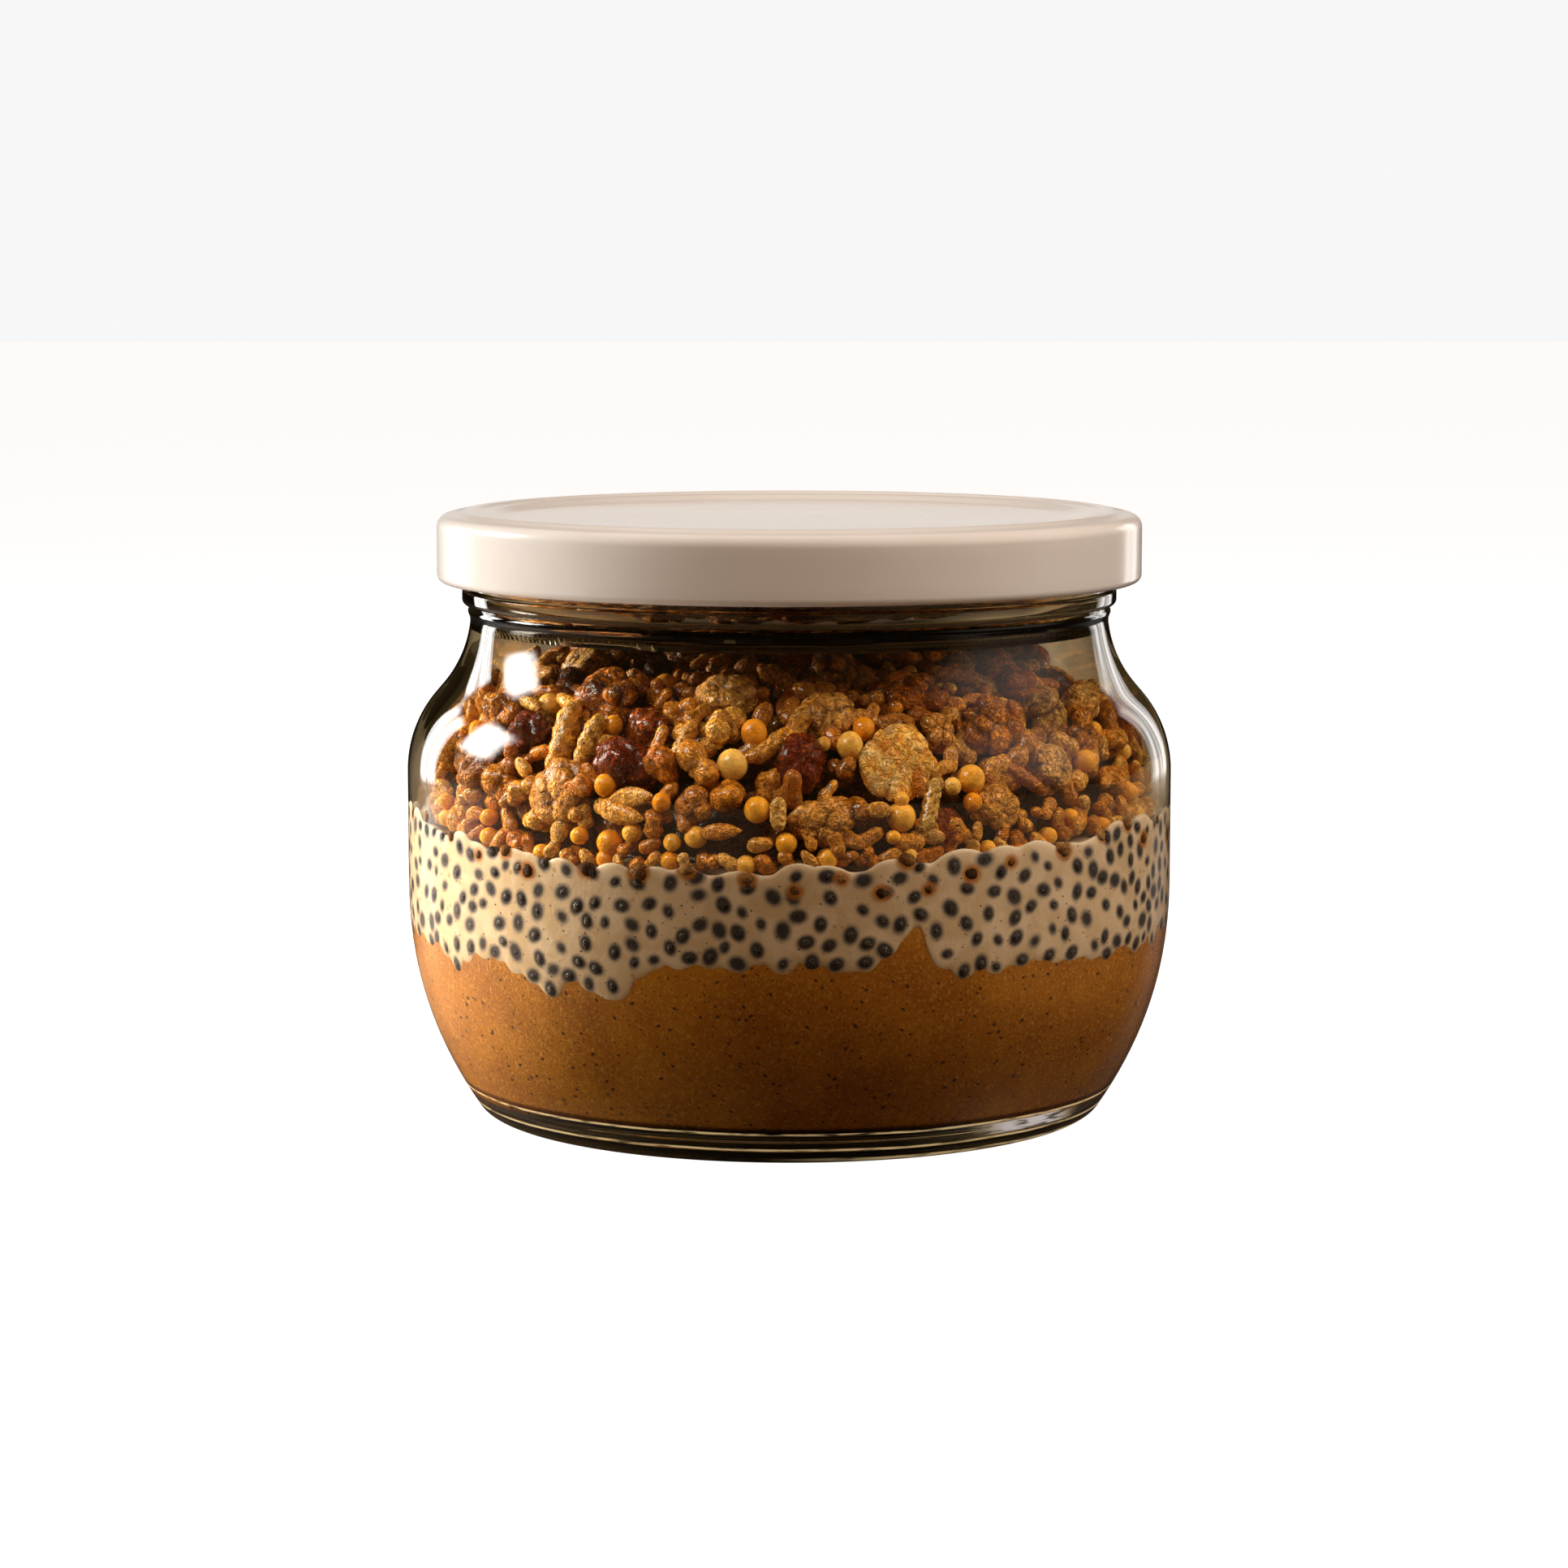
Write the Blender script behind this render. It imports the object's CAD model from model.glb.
"""Looks of a squat glass jar that holds three layers of overnight oats under a twist-off lid.

Sizes are in millimetres and become metres as meshes are made. +Z is up and the jar's front faces
-Y. An azimuth is counted from the front, positive to the right, in degrees where a value is
written down and in radians where it is worked with.
"""

import logging
import math
from collections.abc import Callable, Sequence
from dataclasses import dataclass, field
from enum import Enum

import bmesh
import bpy
import numpy as np
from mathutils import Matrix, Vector


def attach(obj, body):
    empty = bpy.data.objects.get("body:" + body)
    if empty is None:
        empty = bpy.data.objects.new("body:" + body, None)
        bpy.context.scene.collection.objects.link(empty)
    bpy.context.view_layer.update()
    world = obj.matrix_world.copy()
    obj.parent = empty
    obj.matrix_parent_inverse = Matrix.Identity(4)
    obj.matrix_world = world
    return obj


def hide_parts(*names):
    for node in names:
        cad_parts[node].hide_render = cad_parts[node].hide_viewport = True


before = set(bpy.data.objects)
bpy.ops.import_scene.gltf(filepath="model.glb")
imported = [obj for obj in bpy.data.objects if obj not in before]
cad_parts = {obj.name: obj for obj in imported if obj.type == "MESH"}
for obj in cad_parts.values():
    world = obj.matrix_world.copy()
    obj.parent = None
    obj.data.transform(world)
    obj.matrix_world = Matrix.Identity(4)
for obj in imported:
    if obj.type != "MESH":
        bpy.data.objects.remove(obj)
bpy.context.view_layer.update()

LOG = logging.getLogger("jar")
MM = 0.001
BODY = "root"
# Groups of pieces that some lamps are kept to, and the material slots of each group.
LIT_APART = {"contents": ("oats", "pudding", "granola"), "heap": ("granola",)}
TURN = 2.0 * math.pi
Array = np.ndarray
Colour = tuple[float, float, float]
Spot = tuple[float, float, float]
Span = tuple[float, float]
Band = tuple[float, float, float, float]
BLACK: Colour = (0.0, 0.0, 0.0)


class Shade:
    """A node's output that Python arithmetic turns into Math nodes."""

    def __init__(self, book: "NodeBook", socket: bpy.types.NodeSocket) -> None:
        """Keeps the tree that an output socket belongs to, and the socket."""
        self.book = book
        self.socket = socket

    def _join(self, operation: str, first: "Value", second: "Value") -> "Shade":
        """Adds a Math node of two operands."""
        return self.book.add("ShaderNodeMath", {"operation": operation}, {0: first, 1: second})

    def __add__(self, other: "Value") -> "Shade":
        """Adds."""
        return self._join("ADD", self, other)

    def __radd__(self, other: "Value") -> "Shade":
        """Adds to a number."""
        return self._join("ADD", other, self)

    def __sub__(self, other: "Value") -> "Shade":
        """Subtracts."""
        return self._join("SUBTRACT", self, other)

    def __rsub__(self, other: "Value") -> "Shade":
        """Subtracts from a number."""
        return self._join("SUBTRACT", other, self)

    def __mul__(self, other: "Value") -> "Shade":
        """Multiplies."""
        return self._join("MULTIPLY", self, other)

    def __rmul__(self, other: "Value") -> "Shade":
        """Multiplies a number."""
        return self._join("MULTIPLY", other, self)

    def above(self, low: float, high: float) -> "Shade":
        """Rises smoothly from 0 at low to 1 at high."""
        settings = {"interpolation_type": "SMOOTHSTEP"}
        return self.book.add("ShaderNodeMapRange", settings, {0: self, 1: low, 2: high})

    def between(self, start: float, full: float, fade: float, end: float) -> "Shade":
        """Rises smoothly from 0 to 1 and falls back to 0, as a soft band."""
        return self.above(start, full) * (1.0 - self.above(fade, end))

    def larger(self, other: "Value") -> "Shade":
        """Takes the larger of two values."""
        return self._join("MAXIMUM", self, other)


Value = Shade | float | tuple[float, ...]


class NodeBook:
    """The node tree of a material, a lamp or the world, built node by node."""

    def __init__(self, holder: bpy.types.Material | bpy.types.Light | bpy.types.World) -> None:
        """Empties the tree.

        Args:
            holder: what the tree belongs to.
        """
        self.holder = holder
        holder.use_nodes = True
        self.tree = holder.node_tree
        self.tree.nodes.clear()

    def add(
        self,
        kind: str,
        settings: dict[str, object] | None = None,
        inputs: dict[int | str, Value] | None = None,
        output: int | str = 0,
    ) -> Shade:
        """Adds any node: its settings first, then the values or links of its sockets.

        Args:
            kind: the node's type.
            settings: attribute names and values; "stops" holds a ramp's places and colours.
            inputs: socket names or numbers, and the value or link of each.
            output: the output that is handed back.

        Returns:
            The chosen output.
        """
        node = self.tree.nodes.new(kind)
        for name, value in (settings or {}).items():
            if name == "stops":
                self._set_stops(node, value)
            else:
                setattr(node, name, value)
        for key, value in (inputs or {}).items():
            socket = node.inputs[key]
            if isinstance(value, Shade):
                self.tree.links.new(value.socket, socket)
            elif isinstance(value, tuple) and len(value) == 3 and socket.type == "RGBA":
                socket.default_value = (*value, 1.0)
            else:
                socket.default_value = value
        return Shade(self, node.outputs[output])

    def _set_stops(self, node: bpy.types.Node, stops: Sequence[tuple[float, Colour]]) -> None:
        """Gives a ramp its stops.

        Args:
            node: the ramp.
            stops: places from 0 to 1 and colours.
        """
        elements = node.color_ramp.elements
        while len(elements) < len(stops):
            elements.new(1.0)
        for element, (place, colour) in zip(elements, stops):
            element.position = place
            element.color = (*colour, 1.0)

    def place(self) -> Shade:
        """Gives the place on the object in millimetres."""
        spot = self.add("ShaderNodeTexCoord", output="Object")
        return self.add("ShaderNodeVectorMath", {"operation": "SCALE"}, {0: spot, "Scale": 1.0 / MM})

    def axis(self, place: Shade, name: str) -> Shade:
        """Gives one coordinate of a place: X, Y or Z."""
        return self.add("ShaderNodeSeparateXYZ", {}, {0: place}, output=name)

    def distance(self, place: Shade, spot: Spot) -> Shade:
        """Gives the distance of a place from a spot."""
        return self.add("ShaderNodeVectorMath", {"operation": "DISTANCE"}, {0: place, 1: spot}, "Value")

    def from_axis(self, place: Shade) -> Shade:
        """Gives the distance of a place from the jar's axis."""
        flat = self.add("ShaderNodeVectorMath", {"operation": "MULTIPLY"}, {0: place, 1: (1.0, 1.0, 0.0)})
        return self.distance(flat, (0.0, 0.0, 0.0))

    def mapped(self, place: Shade, **changes: Spot) -> Shade:
        """Changes a place by a Scale or a Rotation in radians."""
        return self.add("ShaderNodeMapping", {}, {0: place, **changes})

    def single(self, operation: str, value: Value) -> Shade:
        """Adds a Math node that takes one value, such as SINE or ABSOLUTE."""
        return self.add("ShaderNodeMath", {"operation": operation}, {0: value})

    def ray(self, kind: str) -> Shade:
        """Gives 1 for rays of a kind: Camera, Diffuse, Shadow or Transmission."""
        return self.add("ShaderNodeLightPath", output=f"Is {kind} Ray")

    def stretched(self, place: Shade, scale: Spot, turn: float) -> Shade:
        """Turns a place by degrees about Y and stretches it along its axes, for streaks."""
        changes = {"Rotation": (0.0, math.radians(turn), 0.0), "Scale": tuple(1.0 / long for long in scale)}
        return self.add("ShaderNodeMapping", {"vector_type": "TEXTURE"}, {"Vector": place, **changes})

    def noise(self, place: Shade, per_mm: float, detail: float = 2.0, warp: float = 0.0) -> Shade:
        """Gives smooth noise between 0 and 1, by cells to a millimetre, octaves and distortion."""
        inputs = {"Vector": place, "Scale": per_mm, "Detail": detail, "Distortion": warp}
        return self.add("ShaderNodeTexNoise", {}, inputs)

    def cells(self, place: Shade, per_mm: float, output: str = "Distance") -> Shade:
        """Gives the distance to scattered points, so many to a millimetre, or their random Color."""
        return self.add("ShaderNodeTexVoronoi", {}, {"Vector": place, "Scale": per_mm}, output)

    def specks(self, place: Shade, per_mm: float, size: float, share: float) -> Shade:
        """Gives 1 in spots of a size, as a share of a cell, in a share of the cells, and else 0."""
        chosen = self.red(self.cells(place, per_mm, "Color")).above(share - 0.02, share + 0.02)
        return (1.0 - self.cells(place, per_mm).above(size * 0.6, size)) * (1.0 - chosen)

    def red(self, colour: Shade) -> Shade:
        """Gives the red of a colour."""
        return self.add("ShaderNodeSeparateColor", {}, {0: colour})

    def ramp(self, factor: Value, stops: Sequence[tuple[float, Colour]]) -> Shade:
        """Gives a colour along a ramp."""
        return self.add("ShaderNodeValToRGB", {"stops": stops}, {0: factor})

    def blend(self, factor: Value, first: Value, second: Value) -> Shade:
        """Mixes two colours; 0 gives the first, 1 the second."""
        inputs = {0: factor, 6: first, 7: second}
        return self.add("ShaderNodeMix", {"data_type": "RGBA"}, inputs, output=2)

    def mix(self, factor: Value, first: Shade, second: Shade) -> Shade:
        """Mixes two shaders; 0 gives the first, 1 the second."""
        return self.add("ShaderNodeMixShader", {}, {0: factor, 1: first, 2: second})

    def stored(self, name: str) -> Shade:
        """Reads a number stored on the mesh's points."""
        return self.add("ShaderNodeAttribute", {"attribute_name": name}, output="Fac")

    def bump(self, height: Value, depth_mm: float) -> Shade:
        """Turns a height, where 1 is depth_mm high, into a normal."""
        inputs = {"Height": height, "Distance": depth_mm * MM, "Strength": 1.0}
        return self.add("ShaderNodeBump", {}, inputs)

    def surface(self, **inputs: Value) -> Shade:
        """Adds the main shader; its sockets have underscores for the spaces in their names."""
        named = {name.replace("_", " "): value for name, value in inputs.items()}
        return self.add("ShaderNodeBsdfPrincipled", {}, named)

    def finish(self, shader: Shade, output: str = "ShaderNodeOutputMaterial") -> bpy.types.ID:
        """Ends the tree with a shader.

        Args:
            shader: the whole shader.
            output: the type of the output node.

        Returns:
            What the tree belongs to.
        """
        node = self.tree.nodes.new(output)
        self.tree.links.new(shader.socket, node.inputs["Surface"])
        return self.holder


@dataclass(frozen=True)
class ClearGlass:
    """Polished clear glass that lets lamp light through to what it holds.

    The heel's tint changes in bands that climb with height, outside the heel's radius. Its gold
    lines and a pale patch at the right glow faintly in streaks, for light that a thick base
    gathers. Places are in millimetres. A Span is where something starts to show and where it
    shows in full, and a Band adds where it starts to fade and where it is gone.
    """

    tint: Colour = (0.97, 0.98, 0.965)
    neck: Colour = (0.91, 0.84, 0.68)
    neck_span: Span = (58.4, 59.2)
    ring_fade: Span = (2.7, 4.3)
    heel: Span = (36.6, 37.0)
    band_scale: float = 0.2
    bands: tuple[tuple[float, Colour], ...] = (
        (0.00, (0.30, 0.24, 0.12)),
        (0.10, (0.95, 0.75, 0.36)),
        (0.14, (0.95, 0.75, 0.36)),
        (0.20, (0.22, 0.17, 0.08)),
        (0.29, (0.05, 0.035, 0.015)),
        (0.33, (0.05, 0.035, 0.015)),
        (0.36, (1.00, 0.90, 0.66)),
        (0.40, (1.00, 0.90, 0.66)),
        (0.43, (0.26, 0.22, 0.14)),
        (0.60, (0.46, 0.42, 0.33)),
        (0.74, (0.24, 0.20, 0.13)),
        (0.78, (1.00, 0.90, 0.66)),
        (0.815, (1.00, 0.90, 0.66)),
        (0.85, (0.05, 0.03, 0.015)),
        (0.93, (0.12, 0.09, 0.05)),
        (1.00, (0.97, 0.98, 0.965)),
    )
    bright: Colour = (1.0, 0.95, 0.96)
    gathered: Colour = (1.0, 0.74, 0.36)
    glow: float = 0.35
    glow_share: float = 0.85
    patch_across: Band = (20.0, 26.0, 30.5, 34.5)
    patch_height: Band = (2.1, 2.5, 3.6, 3.9)
    line_red: Span = (0.6, 0.95)
    line_foot: Span = (1.0, 1.3)
    line_right: Span = (-4.0, 16.0)
    line_end: Span = (4.15, 4.3)
    streak_scale: Spot = (0.3, 0.3, 2.6)
    streak_share: Span = (0.30, 0.55)
    rings: float = 5.2
    ring_depth: float = 0.10
    bend: float = 1.5

    def material(self) -> bpy.types.Material:
        """Builds the material.

        Returns:
            The material.
        """
        book = NodeBook(bpy.data.materials.new("clear_glass"))
        place = book.place()
        height = book.axis(place, "Z")
        across = book.axis(place, "X")
        heel = book.from_axis(place).above(*self.heel)
        wobble = (book.noise(place, 0.07, 2.0) - 0.5) * 0.08
        bands = book.ramp(height * self.band_scale + wobble, self.bands)
        bands = book.blend(heel, self.tint, bands)
        lines = book.red(bands).above(*self.line_red) * heel * (1.0 - height.above(*self.line_end))
        lines = lines * height.above(*self.line_foot).larger(across.above(*self.line_right))
        patch = across.between(*self.patch_across) * height.between(*self.patch_height)
        tint = book.blend(patch, bands, self.bright)
        tint = book.blend(height.above(*self.neck_span), tint, self.neck)
        rings = book.single("SINE", height * self.rings) * (1.0 - height.above(*self.ring_fade))
        relief = book.noise(place, 0.05, 1.0) + rings * self.ring_depth
        glass = book.surface(
            Base_Color=tint,
            Roughness=0.0,
            IOR=self.bend,
            Transmission_Weight=1.0,
            Normal=book.bump(relief, 0.5),
        )
        streaks = book.noise(book.mapped(place, Scale=self.streak_scale), 0.9, 2.0)
        lit = lines.larger(patch * heel) * streaks.above(*self.streak_share)
        light = book.blend(patch, self.gathered, self.bright)
        gathered = book.surface(
            Base_Color=light,
            Roughness=0.4,
            Emission_Color=light,
            Emission_Strength=self.glow,
        )
        glass = book.mix(lit * self.glow_share, glass, gathered)
        open_path = book.add("ShaderNodeBsdfTransparent", {}, {"Color": self.tint})
        passing = book.ray("Shadow").larger(book.ray("Diffuse"))
        return book.finish(book.mix(passing, glass, open_path))


@dataclass(frozen=True)
class LidPaint:
    """Glossy off-white paint on tinplate."""

    colour: Colour = (0.93, 0.88, 0.82)
    shade: Colour = (0.90, 0.84, 0.775)
    lacquer: Colour = (0.10, 0.065, 0.030)

    def material(self) -> bpy.types.Material:
        """Builds the material.

        Returns:
            The material.
        """
        book = NodeBook(bpy.data.materials.new("lid_paint"))
        place = book.place()
        cloud = book.noise(place, 0.06, 3.0)
        peel = book.noise(place, 1.4, 2.0)
        colour = book.blend(cloud.above(0.35, 0.7), self.colour, self.shade)
        colour = book.blend(book.stored("inside"), colour, self.lacquer)
        surface = book.surface(
            Base_Color=colour,
            Roughness=0.2 + peel * 0.08,
            Specular_IOR_Level=0.35,
            Coat_Weight=0.3,
            Coat_Roughness=0.08,
            Normal=book.bump(peel, 0.01),
        )
        return book.finish(surface)


@dataclass(frozen=True)
class SmoothOats:
    """Smooth brown oat cream with dark specks and fine light fibres, pressed against glass."""

    deep: Colour = (0.33, 0.101, 0.0030)
    light: Colour = (0.45, 0.157, 0.0070)
    fibre: Colour = (0.85, 0.43, 0.075)
    foot: Colour = (0.80, 0.64, 0.36)
    line: Colour = (0.020, 0.010, 0.003)
    foot_top: float = 4.5
    speck: Colour = (0.04, 0.014, 0.004)

    def material(self) -> bpy.types.Material:
        """Builds the material.

        Returns:
            The material.
        """
        book = NodeBook(bpy.data.materials.new("smooth_oats"))
        place = book.place()
        cloud = book.noise(place, 0.12, 4.0)
        grain = book.noise(place, 2.6, 3.0)
        body = book.blend(cloud.above(0.3, 0.7), self.deep, self.light)
        body = book.blend(grain.above(0.45, 0.8) * 0.35, body, self.fibre)
        for turn, share in ((35.0, 0.34), (-50.0, 0.32), (80.0, 0.30)):
            streak = book.stretched(place, (0.6, 0.6, 3.2), turn)
            body = book.blend(book.specks(streak, 1.35, 0.30, share) * 0.42, body, self.fibre)
        for turn, size, share in ((40.0, 0.24, 0.26), (-30.0, 0.28, 0.16)):
            streak = book.stretched(place, (1.0, 1.0, 1.7), turn)
            body = book.blend(book.specks(streak, 0.72, size, share) * 0.92, body, self.speck)
        fine = book.specks(place, 2.0, 0.30, 0.36)
        body = book.blend(fine * 0.75, body, self.speck)
        height = book.axis(place, "Z")
        body = book.blend(height.above(self.foot_top + 0.1, self.foot_top + 0.5), self.line, body)
        body = book.blend(height.above(self.foot_top - 0.25, self.foot_top - 0.1), self.foot, body)
        surface = book.surface(
            Base_Color=body,
            Roughness=0.45 + grain * 0.2,
            Subsurface_Weight=0.15,
            Subsurface_Radius=(1.0, 0.45, 0.2),
            Subsurface_Scale=1.2 * MM,
            Normal=book.bump(grain, 0.05),
        )
        return book.finish(surface)


@dataclass(frozen=True)
class ChiaCream:
    """Cream with grey gel round each seed, orange round each sunk crumb, and a thin lower edge."""

    cream: Colour = (0.61, 0.42, 0.225)
    pale: Colour = (0.72, 0.53, 0.33)
    gel: Colour = (0.23, 0.175, 0.125)
    husk: Colour = (0.030, 0.024, 0.020)
    warm: Colour = (0.42, 0.14, 0.018)
    fringe: Colour = (0.38, 0.20, 0.07)
    rim: Colour = (0.86, 0.70, 0.50)
    speck: Colour = (0.06, 0.028, 0.012)

    def material(self) -> bpy.types.Material:
        """Builds the material.

        Returns:
            The material.
        """
        book = NodeBook(bpy.data.materials.new("chia_cream"))
        place = book.place()
        cloud = book.noise(place, 0.28, 4.0, 0.6)
        grain = book.noise(place, 2.2, 3.0)
        body = book.blend(cloud.above(0.36, 0.68), self.cream, self.pale)
        body = book.blend(book.stored("rim") * 0.6, body, self.rim)
        body = book.blend(book.specks(place, 0.8, 0.30, 0.10) * 0.5, body, self.warm)
        body = book.blend(book.stored("fringe") * (0.35 + 0.6 * grain), body, self.fringe)
        haze = book.stored("gel") + (grain - 0.5) * 0.16
        body = book.blend(haze.above(0.05, 0.85), body, self.gel)
        body = book.blend(haze.above(0.62, 1.05), body, self.husk)
        for turn, size, share in ((35.0, 0.20, 0.20), (-40.0, 0.16, 0.24)):
            chip = book.stretched(place, (1.0, 1.0, 1.5), turn)
            body = book.blend(book.specks(chip, 1.05, size, share) * 0.92, body, self.speck)
        body = book.blend(book.stored("warm") * (0.7 + 0.6 * grain), body, self.warm)
        surface = book.surface(
            Base_Color=body,
            Roughness=0.35 + grain * 0.2,
            Subsurface_Weight=0.25,
            Subsurface_Radius=(1.0, 0.7, 0.45),
            Subsurface_Scale=1.0 * MM,
            Normal=book.bump(grain, 0.04),
        )
        return book.finish(surface)


@dataclass(frozen=True)
class SeedCoat:
    """Black chia seed coats with brown and grey mottling, wet with gel."""

    dark: Colour = (0.014, 0.011, 0.010)
    brown: Colour = (0.06, 0.042, 0.030)
    grey: Colour = (0.24, 0.19, 0.145)

    def material(self) -> bpy.types.Material:
        """Builds the material.

        Returns:
            The material.
        """
        book = NodeBook(bpy.data.materials.new("seed_coat"))
        place = book.place()
        mottle = book.noise(place, 1.5, 2.0, 1.2)
        vein = book.noise(place, 2.4, 2.0, 2.5)
        body = book.blend(mottle.above(0.48, 0.66), self.dark, self.brown)
        line = vein.between(0.50, 0.535, 0.55, 0.585)
        body = book.blend(line * book.stored("tone"), body, self.grey)
        surface = book.surface(Base_Color=body, Roughness=0.24, Normal=book.bump(mottle + vein, 0.12))
        return book.finish(surface)


@dataclass(frozen=True)
class Morsel:
    """Finish of one kind of granola piece, from toasted to pale, darker in its folds.

    Wet patches shine more than the rest, as syrup does.
    """

    name: str
    toasted: Colour
    middle: Colour
    pale: Colour
    fold: Colour
    roughness: float = 0.5
    coat: float = 0.0
    patch: float = 0.35
    relief: float = 0.12
    grain: float = 1.5
    crease: float = 0.5
    wet: Span = (0.40, 0.58)
    wet_shine: float = 0.6

    def material(self) -> bpy.types.Material:
        """Builds the material.

        Returns:
            The material.
        """
        book = NodeBook(bpy.data.materials.new(self.name))
        place = book.place()
        cloud = book.noise(place, 0.45, 3.0, 0.4)
        grain = book.noise(place, self.grain, 3.0)
        fine = book.noise(place, self.grain * 1.9, 2.0, 0.5)
        pores = book.cells(place, self.grain * 0.9)
        wave = book.noise(place, self.grain * 0.62, 2.0, 1.8) - 0.5
        crinkle = 1.0 - book.single("ABSOLUTE", wave).above(0.0, 0.07)
        tone = book.stored("tone") + (cloud - 0.5) * (2.0 * self.patch)
        body = book.ramp(tone, ((0.1, self.toasted), (0.5, self.middle), (0.95, self.pale)))
        body = book.blend(grain.above(0.52, 0.75) * 0.3, body, self.pale)
        body = book.blend(grain.above(0.28, 0.5) * -0.4 + 0.4, body, self.toasted)
        body = book.blend(book.stored("fold"), body, self.fold)
        body = book.blend(crinkle * self.crease, body, self.toasted)
        wet = book.noise(place, 0.8, 2.0, 0.6).above(*self.wet)
        height = grain + pores * 0.6 + cloud * 0.5 + fine * 0.3 - crinkle * 0.8
        surface = book.surface(
            Base_Color=body,
            Roughness=(self.roughness + (grain - 0.5) * 0.2) * (1.0 - self.wet_shine * wet),
            Specular_IOR_Level=0.10,
            Coat_Weight=self.coat,
            Coat_Roughness=0.12,
            Normal=book.bump(height, self.relief),
        )
        return book.finish(surface)


@dataclass(frozen=True)
class PaleFloor:
    """A pale floor that mirrors and glass see as a dim warm table.

    The camera sees it evenly pale. Other rays see a dark table with a sunlit part at the left.
    Rays that pass through glass also see it glow, far out at both sides and in two streaked spots
    under the jar's front.
    """

    glow: float = 0.93
    seen: Colour = (0.30, 0.295, 0.29)
    clouded: Colour = (0.27, 0.265, 0.26)
    mirrored: Colour = (0.016, 0.010, 0.007)
    sunlit: Colour = (0.35, 0.29, 0.22)
    sun_across: Band = (-210.0, -150.0, -70.0, -30.0)
    sun_along: Band = (-90.0, -30.0, 60.0, 110.0)
    aside: Colour = (0.15, 0.105, 0.055)
    aside_span: Span = (40.0, 130.0)
    spots: tuple[tuple[Spot, Colour, float], ...] = (
        ((26.0, -18.0, 0.0), (1.0, 0.90, 0.84), 0.35),
        ((-22.0, -16.0, 0.0), (0.42, 0.33, 0.19), 0.40),
    )
    spot_edge: Span = (6.0, 16.0)
    streak_turn: float = 0.9

    def material(self) -> bpy.types.Material:
        """Builds the material.

        Returns:
            The material.
        """
        book = NodeBook(bpy.data.materials.new("pale_floor"))
        place = book.place()
        seen = book.surface(
            Base_Color=book.blend(book.noise(place, 0.01, 2.0) * 0.3, self.seen, self.clouded),
            Roughness=0.9,
            Emission_Color=(self.glow, self.glow, self.glow),
            Emission_Strength=1.0,
        )
        across = book.axis(place, "X")
        lit = across.between(*self.sun_across) * book.axis(place, "Y").between(*self.sun_along)
        table = book.blend(lit, self.mirrored, self.sunlit)
        aside = book.single("ABSOLUTE", across).above(*self.aside_span)
        glow = book.blend(aside * (0.4 + 1.2 * book.noise(place, 0.02)), BLACK, self.aside)
        slanted = book.mapped(place, Rotation=(0.0, 0.0, self.streak_turn))
        streak = book.noise(slanted, 0.12, 3.0, 1.0)
        for middle, light, least in self.spots:
            near = 1.0 - book.distance(place, middle).above(*self.spot_edge)
            glow = book.blend(near * streak.above(least, 0.65), glow, light)
        glow = book.blend(book.ray("Transmission"), BLACK, glow)
        dim = book.surface(Base_Color=table, Roughness=0.6, Emission_Color=glow, Emission_Strength=2.0)
        return book.finish(book.mix(book.ray("Camera"), dim, seen))


@dataclass
class Sheet:
    """Points, triangles and stored numbers of a mesh in the making, in millimetres."""

    points: list[Array] = field(default_factory=list)
    faces: list[Array] = field(default_factory=list)
    stored: dict[str, list[Array]] = field(default_factory=dict)
    count: int = 0

    def add(self, points: Array, faces: Array, **stored: Array | float) -> None:
        """Adds a closed patch.

        Args:
            points: its points, one row each.
            faces: its triangles, counted from its own first point.
            **stored: numbers for its points, one for all or one each.
        """
        self.points.append(points)
        self.faces.append(faces + self.count)
        self.count += len(points)
        for name, value in stored.items():
            self.stored.setdefault(name, []).append(np.broadcast_to(value, (len(points),)))

    def piece(self, name: str, slot: str, material: bpy.types.Material) -> bpy.types.Object:
        """Makes the Blender object and lets it ride on the jar.

        Args:
            name: the object's name.
            slot: the record's material slot.
            material: the finish.

        Returns:
            The object.
        """
        points = np.concatenate(self.points).astype(np.float32) * MM
        faces = np.concatenate(self.faces).astype(np.int32)
        mesh = bpy.data.meshes.new(name)
        mesh.vertices.add(len(points))
        mesh.vertices.foreach_set("co", points.ravel())
        mesh.loops.add(faces.size)
        mesh.loops.foreach_set("vertex_index", faces.ravel())
        mesh.polygons.add(len(faces))
        mesh.polygons.foreach_set("loop_start", np.arange(0, faces.size, 3, dtype=np.int32))
        mesh.update(calc_edges=True)
        mesh.shade_smooth()
        for key, values in self.stored.items():
            layer = mesh.attributes.new(key, "FLOAT", "POINT")
            layer.data.foreach_set("value", np.concatenate(values).astype(np.float32))
        mesh.materials.append(material)
        piece = bpy.data.objects.new(name, mesh)
        bpy.context.scene.collection.objects.link(piece)
        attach(piece, BODY)
        for group, slots in LIT_APART.items():
            if slot in slots:
                bpy.data.collections[group].objects.link(piece)
        LOG.info("%s: %d triangles", name, len(faces))
        return piece


def even_turns(sides: int) -> Array:
    """Gives azimuths that are evenly spread over a full turn."""
    return np.arange(sides) * (TURN / sides)


def signed(angle: Array) -> Array:
    """Brings angles between minus and plus half a turn."""
    return np.remainder(angle + math.pi, TURN) - math.pi


def outward_at(azimuth: float) -> Array:
    """Gives the level direction away from the axis."""
    return np.array([math.sin(azimuth), -math.cos(azimuth), 0.0])


def around_axis(radius: Array, height: Array, azimuths: Array) -> Array:
    """Gives the points at radii and heights, a row for each row of them."""
    return np.stack([radius * np.sin(azimuths), -radius * np.cos(azimuths), height], axis=2)


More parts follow.
